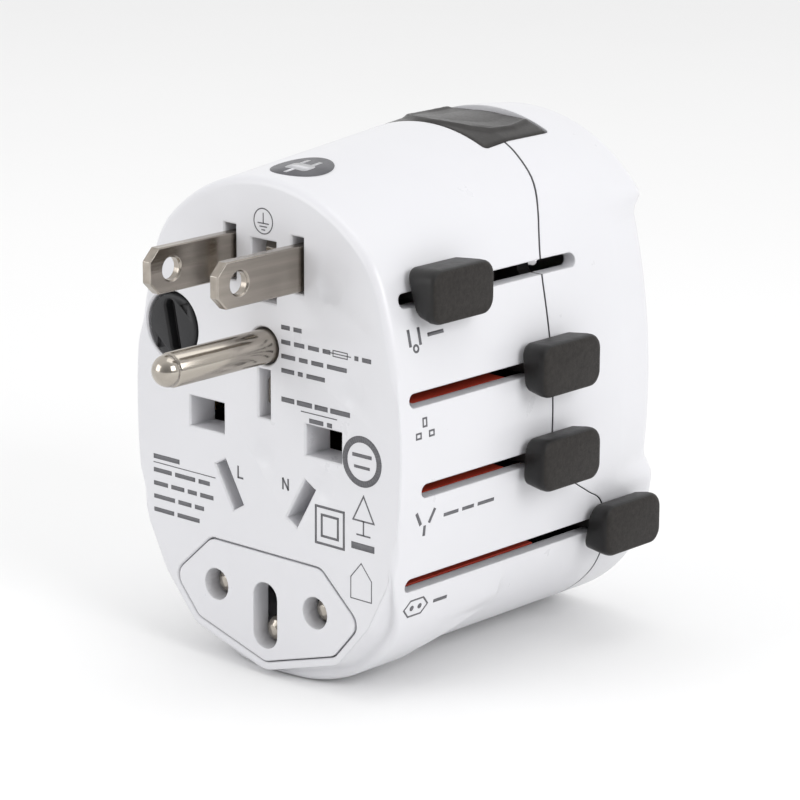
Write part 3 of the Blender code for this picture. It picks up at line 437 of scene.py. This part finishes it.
def shell_rings():
    """Rings of the body: dished plug face, rounded edge, step, back part, rounded socket end."""
    corner = corner_radius
    rim = rim_outline()
    outer = [outline_point(a, 2 * mm, 0, corner) for a in angles]
    reach = [math.hypot(*p) for p in outer]
    rim_reach = [ray_hit(rim, a) or 1 for a in angles]
    fillet = [min(max(0.45 * (r - m), 0.2 * mm), 1.2 * mm) if m < r - 0.3 * mm else
              (0.2 * mm if m < r else 1.2 * mm) for r, m in zip(reach, rim_reach)]
    smooth_fillet = list(fillet)
    for _ in range(3):
        smooth_fillet = [(smooth_fillet[i - 1] + smooth_fillet[i] +
                          smooth_fillet[(i + 1) % ring_count]) / 3 for i in range(ring_count)]
    rings = []
    dish_steps = 8
    for k in range(dish_steps + 1):
        t = k / dish_steps
        ring = []
        for a, r, m, f, (x, z) in zip(angles, reach, rim_reach, smooth_fillet, outer):
            edge = r - f
            start = min(m, edge - 0.35 * mm)
            here = start + (edge - start) * t
            y = front_recess(x, z) * (1 - (1 - t) ** 2.2)
            ring.append(place(here * math.cos(a), y, here * math.sin(a)))
        rings.append(ring)
    for k in range(1, 7):
        t = math.radians(90 * k / 6)
        ring = []
        for a, r, f, (x, z) in zip(angles, reach, smooth_fillet, outer):
            here = r - f * (1 - math.sin(t))
            y = front_recess(x, z) + f * (1 - math.cos(t))
            ring.append(place(here * math.cos(a), y, here * math.sin(a)))
        rings.append(ring)
    rings += [section(y, 0, corner) for y in (5 * mm, 8 * mm, 11 * mm)]
    for t in (0.0, 0.25, 0.5, 0.75, 1.0):
        size = corner + 3.2 * mm * step(t, 0, 1)
        rings.append(section(step_depth_high + step_length * t, 0, size, step_length * t))
    rear = corner_radius_rear
    depths = [26, 29, 32, 35, 38, 41, 44, 46.5, 48, 50, 52, 53.5]
    rings += [section(y * mm, 0, rear) for y in depths]
    for k in range(9):
        t = math.radians(90 * k / 8)
        depth = depth_total - rear_edge * (1 - math.sin(t))
        rings.append(section(depth, rear_edge * (1 - math.cos(t)), rear))
    return rings


def cavity_rings():
    return [section(y * mm, wall, corner_radius_rear) for y in (4.85, 12, 28, 38, 46.5, 54.5)]


seam_path = [(48.0, -60.0), (48.0, -34.0), (47.9, -28.3), (47.1, -23.9), (45.7, -18.4),
             (43.8, -14.7), (40.9, -12.9), (37.9, -11.1), (34.5, -9.0), (31.9, -7.4),
             (31.5, -6.0), (31.45, -2.0), (31.6, 10.0), (31.9, 18.0), (32.5, 22.0),
             (33.4, 25.0), (34.4, 27.6), (35.3, 30.2), (36.1, 32.6), (36.7, 34.4),
             (37.2, 36.2), (37.4, 40.0), (37.4, 60.0)]


def seam_points():
    """Smooth curve through the seam's points."""
    points = [seam_path[0]]
    for i in range(1, len(seam_path) - 2):
        a, b, c, d = (Vector(seam_path[i + k]) for k in (-1, 0, 1, 2))
        for j in range(6):
            t = j / 6
            point = 0.5 * (2 * b + (c - a) * t + (2 * a - 5 * b + 4 * c - d) * t * t +
                           (3 * b - a - 3 * c + d) * t ** 3)
            points.append(tuple(point))
    return points + list(seam_path[-2:])


def seam_block(name, far, shift):
    points = [((y + shift) * mm, z * mm) for y, z in seam_points()]
    points = points + [(far, 60 * mm), (far, -60 * mm)]
    rings = [[place(x, y, z) for y, z in points] for x in (-60 * mm, 60 * mm)]
    return cutter_loft(name, rings, ink_line)


def chamfered_hole(name, outline, edge, depth=5.2):
    """Cutter through the plug face, a little wider at the surface; outline in millimetres."""
    wide = in_mm(grown(outline, edge))
    narrow = in_mm(outline)
    rings = [[place(x, -3 * mm, z) for x, z in wide], [place(x, 0.02 * mm, z) for x, z in wide],
             [place(x, edge * mm, z) for x, z in narrow],
             [place(x, depth * mm, z) for x, z in narrow]]
    return cutter_loft(name, rings, white)


def slot_outline(front, back, z, height):
    radius = height / 2
    ends = []
    for centre, start in ((back - radius, -90), (front + radius, 90)):
        for i in range(13):
            angle = math.radians(start + 15 * i)
            ends.append((centre + radius * math.cos(angle), z + radius * math.sin(angle)))
    return ends


def cut_face(front):
    """Pin apertures, insert and fuse openings and shallow dimples in the plug face."""
    holes = []
    for side in (-1, 1):
        holes.append(rectangle(side * 6.35, 24.0, 2.1, 7.75))
        holes.append(rectangle(side * 11.11, 0, 6.6, 4.4))
        holes.append(rectangle(side * 6.86, -9.3, 2.2, 6.95, side * -math.radians(30)))
    holes.append(rectangle(0, 22.23, 4.6, 8.6))
    holes.append(rectangle(0, 5.0, 2.2, 6.95))
    holes.append(circle(0, usa_ground_line, 2.7))
    for i, outline in enumerate(holes):
        boolean(front, chamfered_hole("aperture_%d" % i, outline, 0.18))
    boolean(front, chamfered_hole("insert_hole", rounded(grown(insert_corners, 0.22), 2.1), 0.15,
                                  24.5))
    boolean(front, chamfered_hole("fuse_hole", circle(*fuse_centre, 5.0), 0.2))
    for i, (x, z) in enumerate([(12.3, 21.5), (16.4, 8.2), (0.3, -3.35), (11.2, -6.0)]):
        shape = bmesh.new()
        bmesh.ops.create_uvsphere(shape, u_segments=48, v_segments=24, radius=7.2 * mm)
        for corner in shape.verts:
            corner.co += place(x * mm, -6.74 * mm, z * mm)
        dimple = from_bmesh("dimple_%d" % i, shape, [white], cutters)
        dimple.hide_render = True
        boolean(front, dimple)


def cut_back(rear):
    """Socket opening and the four countersunk screw bores."""
    opening = rounded([(-16.5, -9.6), (16.5, -9.6), (16.5, 26.4), (-16.5, 26.4)], 5)
    levels = ((52, opening), (57.2, opening), (57.52, grown(opening, 0.3)),
              (60, grown(opening, 0.3)))
    boolean(rear, cutter_loft("socket_hole", level_rings(levels), white))
    for i, (x, z) in enumerate([(-10.0, -14.2), (10.0, -14.2), (-10.5, 29.9), (10.5, 29.9)]):
        ring = circle(x, z, 2.6, 36)
        small = circle(x, z, 1.6, 36)
        levels = ((50, small), (55.3, small), (55.31, ring), (60, ring))
        boolean(rear, cutter_loft("bore_%d" % i, level_rings(levels), white))


def build_shells():
    """Front and rear halves, cut apart along the seam, hollowed and opened."""
    rings = shell_rings()
    front = loft("shell_front", rings, [white])
    rear = loft("shell_rear", rings, [white])
    # The cavity's faces take the near-black colour: painted shade on the shell's inner walls,
    # together with the black inner parts.
    cavity = cutter_loft("cavity", cavity_rings(), inner_parts_and_painted_shade)
    boolean(front, cavity)
    boolean(rear, cavity)
    boolean(front, seam_block("seam_front", -60 * mm, -0.16), "INTERSECT")
    boolean(rear, seam_block("seam_rear", 90 * mm, 0.16), "INTERSECT")
    cut_face(front)
    for name, (start, end, z) in slots.items():
        outline = in_mm(slot_outline(start, end, z, 2.0))
        made = cutter_loft(name + "_slot", [[place(x, y, q) for y, q in outline]
                                            for x in (15 * mm, 40 * mm)], white)
        boolean(front, made)
        boolean(rear, made)
    hole = in_mm(rounded([(-11.0, 33.0), (11.0, 33.0), (11.0, 47.0), (-11.0, 47.0)], 0.8))
    made = cutter_loft("button_hole", [[place(x, y, q) for x, y in hole]
                                       for q in (22 * mm, 60 * mm)], white)
    boolean(front, made)
    boolean(rear, made)
    cut_back(rear)
    for made in (front, rear):
        bpy.context.view_layer.update()
        graph = bpy.context.evaluated_depsgraph_get()
        mesh = bpy.data.meshes.new_from_object(made.evaluated_get(graph))
        made.modifiers.clear()
        made.data = mesh
        mesh.shade_smooth()
        mesh.set_sharp_from_angle(angle=math.radians(28))
    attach(front, "housing")
    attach(rear, "housing")
    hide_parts("front_housing")
    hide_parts("rear_housing")


def side_x(z):
    radius = (side_radius_up if z > 0 else side_radius_down) * mm
    return half_width - radius + math.sqrt(radius ** 2 - z ** 2)


def build_knobs():
    """Knobs whose inner side follows the body, with a softly rounded, textured face."""
    for name, (y, z, lift) in knobs.items():
        face = side_x(z * mm) + 5.0 * mm
        rings = []
        levels = [(None, 0.95), (face - 1.5 * mm, 1.0), (face - 0.75 * mm, 1.0),
                  (face - 0.45 * mm, 0.99), (face - 0.22 * mm, 0.972),
                  (face - 0.08 * mm, 0.95), (face, 0.915)]
        for level, scale in levels:
            shrink = 6.0 * (1 - scale)
            corners = rectangle(y, z + lift, 12.4 - 2 * shrink, 7.4 - 2 * shrink)
            ring = []
            for a, b in rounded(corners, 1.9, 8):
                x = side_x(b * mm) + 1.2 * mm if level is None else level
                ring.append(place(x, a * mm, b * mm))
            rings.append(ring)
        made = loft(name + "_knob_body", rings, [knob_side, knob_face], angle=60,
                    cap_material=1)
        for polygon in made.data.polygons:
            if min(made.data.vertices[v].co.x for v in polygon.vertices) > face - 0.35 * mm:
                polygon.material_index = 1
        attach(made, name + "_slider")
        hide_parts(name + "_knob")


def build_button():
    """Curved key with a low curved ridge around the finger rest."""
    columns, rows = 72, 48
    path = [(-7.4, 45.9), (-8.2, 42.0), (-7.8, 37.7), (-6.0, 35.9), (-3.1, 34.6), (0.0, 34.0),
            (3.1, 34.6), (6.0, 35.9), (7.8, 37.7), (8.2, 42.0), (7.4, 45.9)]

    def ridge_distance(x, y):
        best = 99
        for a, b in zip(path, path[1:]):
            a, b, p = Vector(a), Vector(b), Vector((x, y))
            t = max(0, min(1, (p - a).dot(b - a) / (b - a).length_squared))
            best = min(best, (a + (b - a) * t - p).length)
        return best

    shape = bmesh.new()
    grid, under = [], []
    for j in range(rows + 1):
        line, low = [], []
        for i in range(columns + 1):
            x = -button_half + 2 * button_half * i / columns
            y = button_front + (button_back - button_front) * j / rows
            centre = crest(y * mm) - arch_radius
            lift = 0.35 * math.exp(-(ridge_distance(x, y) / 0.45) ** 2)
            t = max(0, 1 - (x / 7.6) ** 2 - ((y - 42.5) / 8.0) ** 2)
            lift -= 0.55 * min(t * 1.6, 1)
            edge = min(button_half - abs(x), y - button_front, button_back - y)
            lift -= 0.35 * max(0, 1 - edge / 0.5) ** 2
            radius = arch_radius + (lift - 0.05) * mm
            angle = math.asin(x * mm / arch_radius)
            line.append(shape.verts.new(place(radius * math.sin(angle), y * mm,
                                              centre + radius * math.cos(angle))))
            radius = arch_radius - 1.9 * mm
            low.append(shape.verts.new(place(x * mm, y * mm,
                                             centre + math.sqrt(radius ** 2 - (x * mm) ** 2))))
        grid.append(line)
        under.append(low)
    for j in range(rows):
        for i in range(columns):
            shape.faces.new((grid[j][i], grid[j][i + 1], grid[j + 1][i + 1], grid[j + 1][i]))
            shape.faces.new((under[j][i], under[j + 1][i], under[j + 1][i + 1], under[j][i + 1]))
    for j in (0, rows):
        for i in range(columns):
            shape.faces.new((grid[j][i], under[j][i], under[j][i + 1], grid[j][i + 1]))
    for i in (0, columns):
        for j in range(rows):
            shape.faces.new((grid[j][i], grid[j + 1][i], under[j + 1][i], under[j][i]))
    bmesh.ops.recalc_face_normals(shape, faces=shape.faces)
    made = from_bmesh("button_key", shape, [button_dark], angle=50)
    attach(made, "button")
    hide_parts("release_button")


def build_pins():
    """Blades with chamfered tips and through holes, and the domed ground pin."""
    for name, side in (("left", -1), ("right", 1)):
        rings = []
        half, chamfer = 3.175, 1.7
        outline = [(-15.9, -half + chamfer), (-15.9 + chamfer, -half), (4.5, -half),
                   (4.5, half), (-15.9 + chamfer, half), (-15.9, half - chamfer)]
        for x, inset in ((-0.75, 0.14), (-0.61, 0), (0.61, 0), (0.75, 0.14)):
            ring = [place((side * 6.35 + x) * mm, a, b + usa_line * mm)
                    for a, b in in_mm(grown(outline, -inset))]
            rings.append(ring)
        made = loft("us_blade_" + name, rings, [nickel], angle=20)
        hole = []
        for x, r in ((-3, 1.95), (-0.75, 1.83), (-0.5, 1.6), (0.5, 1.6), (0.75, 1.83), (3, 1.95)):
            hole.append([place((side * 6.35 + x) * mm, a * mm, b * mm)
                         for a, b in circle(-11.8, usa_line, r)])
        boolean(made, cutter_loft("hole_" + name, hole, nickel))
        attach(made, "usa_slider")
        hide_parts("usa_blade_" + name)
    rings = []
    for k in range(13):
        t = math.radians(90 * k / 12)
        rings.append((-20.4 + 2.2 * (1 - math.cos(t)), max(2.25 * math.sin(t), 0.02)))
    rings += [(-18.1, 2.2), (-18.0, 2.15), (-17.9, 2.3), (-17.75, 2.4), (8.9, 2.4)]
    made = loft("us_round_ground", [[place(a * mm, y * mm, b * mm)
                                     for a, b in circle(0, usa_ground_line, r, 64)]
                                    for y, r in rings],
                [nickel_round], angle=40)
    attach(made, "usa_slider")
    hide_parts("usa_ground_pin")


# ---- printed marks ---------------------------------------------------------------------
def stroke(points, width):
    """Quads along a line, in millimetres."""
    quads = []
    for a, b in zip(points, points[1:]):
        a, b = Vector(a), Vector(b)
        along = (b - a).normalized()
        across = Vector((-along.y, along.x)) * width / 2
        a, b = a - along * width * 0.3, b + along * width * 0.3
        quads.append([tuple(a - across), tuple(b - across), tuple(b + across), tuple(a + across)])
    return quads


def loop(points, width):
    """Closed line as one mitred quad per edge."""
    outer, inner = grown(points, width / 2), grown(points, -width / 2)
    return [[outer[i - 1], outer[i], inner[i], inner[i - 1]] for i in range(len(outer))]


def words(x, z, lengths, height, space=0.7):
    """A row of word-like bars."""
    quads = []
    for length in lengths:
        quads.append(rectangle(x + length / 2, z, length, height))
        x += length + space
    return quads


def face_marks():
    """Earth sign, word-like bars and plain signs on the plug face, in x and z."""
    marks = loop(circle(0, 29.1, 1.75, 40), 0.16)
    marks += stroke([(0, 30.2), (0, 28.8)], 0.16)
    for width, z in ((2.0, 28.8), (1.3, 28.35), (0.6, 27.9)):
        marks += stroke([(-width / 2, z), (width / 2, z)], 0.16)
    marks += words(3.3, 15.0, (1.6, 1.5), 0.62)
    marks += words(3.3, 12.95, (1.7, 1.9, 2.0, 1.4), 0.62)
    marks += loop(rectangle(14.2, 12.95, 2.6, 0.8), 0.14) + stroke([(12.3, 12.95), (16.1, 12.95)],
                                                                  0.14)
    marks += words(16.8, 12.95, (0.7, 1.6), 0.62)
    marks += words(3.3, 10.95, (2.6, 1.6, 2.2, 3.6), 0.62)
    marks += words(3.3, 8.95, (2.4, 0.9, 3.4), 0.62)
    marks += words(3.3, 4.9, (2.4, 2.8, 2.4, 3.6), 0.7, 0.5)
    marks += stroke([(7.0, 3.85), (13.6, 3.85)], 0.14)
    marks += words(8.5, 2.8, (2.6, 0.9), 0.62)
    marks += loop(circle(18.2, -1.1, 3.1), 0.9)
    marks += stroke([(16.6, -0.3), (19.8, -0.3)], 0.5) + stroke([(16.9, -1.9), (19.5, -1.9)], 0.4)
    marks += loop(rectangle(12.3, -11.5, 5.2, 5.2), 0.34)
    marks += loop(rectangle(12.3, -11.5, 3.0, 3.0), 0.34)
    marks += loop([(18.5, -5.9), (16.6, -9.4), (20.4, -9.4)], 0.22)
    marks += stroke([(18.5, -9.4), (18.5, -11.4)], 0.22) + stroke([(17.3, -11.4), (19.7, -11.4)],
                                                                0.22)
    marks.append(rectangle(18.4, -13.05, 4.2, 0.95))
    marks += loop([(16.2, -17.6), (18.1, -15.4), (20.0, -17.6), (20.0, -20.6), (16.2, -20.6)],
                  0.14)
    marks += words(-21.9, -8.0, (5.2,), 0.68) + stroke([(-21.9, -8.9), (-9.6, -8.9)], 0.13)
    for i, lengths in enumerate(((3.6, 4.0, 2.2), (2.8, 2.6, 1.8, 2.6), (4.2, 2.6, 1.8),
                                 (4.0, 4.4))):
        marks += words(-21.9, -10.0 - 1.95 * i, lengths, 0.62)
    marks += stroke([(-5.1, -6.3), (-5.1, -7.9), (-4.2, -7.9)], 0.27)
    marks += stroke([(3.5, -7.8), (3.5, -6.3), (4.5, -7.8), (4.5, -6.3)], 0.27)
    return marks


def side_marks():
    """Pin patterns beside the slots instead of names, in y and z."""
    marks = stroke([(3.6, 15.1), (3.6, 17.1)], 0.5) + stroke([(5.6, 15.1), (5.6, 17.1)], 0.5)
    marks += loop(circle(4.6, 14.6, 0.45, 16), 0.3) + words(7.2, 16.0, (3.2,), 0.5)
    marks += loop(rectangle(3.6, 3.0, 0.9, 0.7), 0.25) + loop(rectangle(6.2, 3.0, 0.9, 0.7), 0.25)
    marks += loop(rectangle(4.9, 4.7, 0.7, 1.1), 0.25)
    marks += stroke([(3.6, -7.9), (4.5, -9.5)], 0.5) + stroke([(7.2, -7.9), (6.3, -9.5)], 0.5)
    marks += stroke([(5.4, -10.0), (5.4, -11.2)], 0.5)
    marks += words(9.2, -9.2, (3.0, 2.4, 3.4), 0.5, 0.8)
    marks += loop([(3.6, -22.0), (4.7, -23.2), (7.3, -23.2), (8.4, -22.0), (7.3, -20.8),
                   (4.7, -20.8)], 0.25)
    marks += [circle(5.2, -22.0, 0.4, 14), circle(6.8, -22.0, 0.4, 14)]
    marks += words(9.6, -22.0, (2.8,), 0.5)
    return marks


def top_marks():
    """Plain dark disc, in x and y on the top."""
    return [circle(0.4, 7.2, 4.4)]


def plug_marks():
    """White plug picture on the disc."""
    marks = [rounded(rectangle(0.4, 6.8, 4.0, 2.6), 0.7, 4)]
    marks += stroke([(-0.7, 8.0), (-0.7, 9.6)], 0.6) + stroke([(1.5, 8.0), (1.5, 9.6)], 0.6)
    marks += stroke([(0.4, 5.5), (0.4, 4.0)], 0.6)
    return marks


def print_marks(name, polygons, spot, material, height=0.03):
    """Ink: every outline laid on a surface given by spot(u, v, height)."""
    pitch = 0.7
    shape = bmesh.new()
    for outline in polygons:
        shape.faces.new([shape.verts.new((u, v, 0)) for u, v in outline])
    span = [v.co.x for v in shape.verts]
    cut = math.floor(min(span)) + pitch
    while cut < max(span):
        bmesh.ops.bisect_plane(shape, geom=shape.verts[:] + shape.edges[:] + shape.faces[:],
                               plane_co=(cut, 0, 0), plane_no=(1, 0, 0))
        cut += pitch
    for corner in shape.verts:
        corner.co = spot(corner.co.x * mm, corner.co.y * mm, height * mm)
    toward = spot(1 * mm, 1 * mm, 1 * mm) - spot(1 * mm, 1 * mm, 0)
    bmesh.ops.recalc_face_normals(shape, faces=shape.faces)
    for face in shape.faces:
        if face.normal.dot(toward) < 0:
            face.normal_flip()
    made = from_bmesh(name, shape, [material])
    thickness = made.modifiers.new("ink", "SOLIDIFY")
    thickness.thickness = 0.06 * mm
    thickness.offset = -1
    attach(made, "housing")


def on_top(x, y, height):
    radius = arch_radius + height
    return place(x, y, crest(y) - arch_radius + math.sqrt(radius ** 2 - x ** 2))


def build_prints():
    print_marks("face_print", face_marks(), lambda x, z, h: place(x, -h, z), ink)
    print_marks("side_print", side_marks(), lambda y, z, h: place(side_x(z) + h, y, z), ink)
    print_marks("top_print", top_marks(), on_top, ink, 0.09)
    print_marks("top_plug_print", plug_marks(), on_top, white, 0.12)


# ---- stage -----------------------------------------------------------------------------
def lamp(name, place_at, size, power):
    """Square soft light aimed at the middle of the adapter."""
    target = Vector((0, 0, 0.03))
    data = bpy.data.lights.new(name, "AREA")
    data.shape = "RECTANGLE"
    data.size = data.size_y = size
    data.energy = power
    made = bpy.data.objects.new(name, data)
    bpy.context.scene.collection.objects.link(made)
    made.location = place_at
    made.rotation_euler = (target - Vector(place_at)).to_track_quat("-Z", "Y").to_euler()


def build_stage():
    """Pale floor, white surroundings a little dimmer on the plug side, three soft lights."""
    bpy.ops.mesh.primitive_plane_add(size=3, location=(0, 0, -0.0002))
    floor = bpy.context.object
    floor.name = "floor"
    tree = Tree("floor_white")
    clouds = tree.ramp(tree.noise(3), 0.3, 0.7)
    tree.set(tree.shader.inputs["Base Color"],
             tree.blend(clouds, colour(0.86, 0.86, 0.86), colour(0.88, 0.88, 0.88)))
    tree.shader.inputs["Roughness"].default_value = 0.9
    floor.data.materials.append(tree.material)
    world = bpy.data.worlds.new("studio")
    bpy.context.scene.world = world
    world.use_nodes = True
    nodes, links = world.node_tree.nodes, world.node_tree.links
    nodes["Background"].inputs[0].default_value = (1, 1, 1, 1)
    toward = nodes.new("ShaderNodeVectorMath")
    toward.operation = "DOT_PRODUCT"
    toward.inputs[1].default_value = (0.66, -0.74, -0.1)
    links.new(nodes.new("ShaderNodeTexCoord").outputs["Generated"], toward.inputs[0])
    dim = nodes.new("ShaderNodeMapRange")
    for key, value in (("From Min", 0.15), ("From Max", 0.95), ("To Min", 1.0), ("To Max", 0.35)):
        dim.inputs[key].default_value = value
    links.new(toward.outputs["Value"], dim.inputs["Value"])
    links.new(dim.outputs["Result"], nodes["Background"].inputs[1])
    lamp("key", (0.62, -0.10, 0.34), 0.35, 2.0)
    lamp("fill", (-0.35, -0.60, 0.25), 0.4, 1.2)
    lamp("top", (0.1, 0.05, 0.7), 0.4, 0.6)


def build_fuse_cap():
    """Dark cap with a slanted coin slot, two ears and a shallow rim."""
    x, z = fuse_centre
    outline = []
    for i in range(96):
        angle = 2 * math.pi * i / 96
        ear = max(abs(math.cos(angle - math.radians(50))), 0) ** 24
        outline.append((x + (4.55 + 0.35 * ear) * math.cos(angle),
                        z + (4.55 + 0.35 * ear) * math.sin(angle)))
    rings = []
    for y, inset in ((0.0, 0.35), (0.08, 0.12), (0.3, 0.0), (2.8, 0.0)):
        ring = [(x + (a - x) * (1 - inset / 4.6), z + (b - z) * (1 - inset / 4.6))
                for a, b in outline]
        rings.append([place(a * mm, y * mm, b * mm) for a, b in ring])
    cap = loft("fuse_cover", rings, [cap_dark], angle=50)
    groove = rounded(rectangle(x, z, 1.8, 7.4, math.radians(12)), 0.85)
    wide = grown(groove, 0.25)
    cut = [[place(a * mm, y * mm, b * mm) for a, b in ring]
           for y, ring in ((-1, wide), (0.0, wide), (0.3, groove), (1.6, groove))]
    boolean(cap, cutter_loft("coin_slot", cut, cap_dark))
    for i, angle in enumerate((50, 230)):
        a = math.radians(angle)
        mark = [(x + 3.9 * math.cos(a) + 1.1 * math.cos(a + k),
                 z + 3.9 * math.sin(a) + 1.1 * math.sin(a + k)) for k in (0, 2.1, 4.2)]
        cut = [[place(p * mm, y * mm, q * mm) for p, q in mark] for y in (-1, 0.35)]
        boolean(cap, cutter_loft("cap_mark_%d" % i, cut, cap_dark))
    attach(cap, "fuse_cover")
    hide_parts("fuse_cap")


def build_camera():
    """Camera looking slightly down at the plug face and the side with the knobs."""
    azimuth, elevation, roll = (math.radians(a) for a in (41.979, 15.006, 0.305))
    back = Vector((math.sin(azimuth) * math.cos(elevation), -math.cos(azimuth) * math.cos(elevation),
                   math.sin(elevation)))
    right = Vector((math.cos(azimuth), math.sin(azimuth), 0))
    up = back.cross(right)
    across = right * math.cos(roll) + up * math.sin(roll)
    upward = up * math.cos(roll) - right * math.sin(roll)
    data = bpy.data.cameras.new("camera")
    data.lens = 156.54
    data.sensor_width = 36
    camera = bpy.data.objects.new("camera", data)
    bpy.context.scene.collection.objects.link(camera)
    matrix = Matrix((across, upward, back)).transposed().to_4x4()
    matrix.translation = Vector((0.321078, -0.357844, 0.162876))
    camera.matrix_world = matrix
    bpy.context.scene.camera = camera
    bpy.context.scene.view_settings.view_transform = "Standard"


def paint_nodes():
    """Materials of the frame's own nodes, by their slot in the record."""
    looks = {"nickel_plate": nickel, "brass": brass, "steel": steel, "dark_plastic": dark_plastic,
             "white_plastic": white, "red_plastic": red, "fuse_body": ceramic}
    for entry in frame["record"]["subparts"]:
        node = frame["nodes"][entry["node"]]
        node.data.materials.clear()
        node.data.materials.append(looks[entry["material_slot"]])
    for name in ("euro_pin_left", "euro_pin_right", "euro_earth_pin"):
        frame["nodes"][name].data.materials[0] = nickel_round
    frame["nodes"]["fuse_cap"].data.materials[0] = cap_dark
    frame["nodes"]["pin_guide"].data.materials[0] = guide_material()


paint_nodes()
build_shells()
build_knobs()
build_button()
build_pins()
build_fuse_cap()
build_prints()
build_stage()
build_camera()
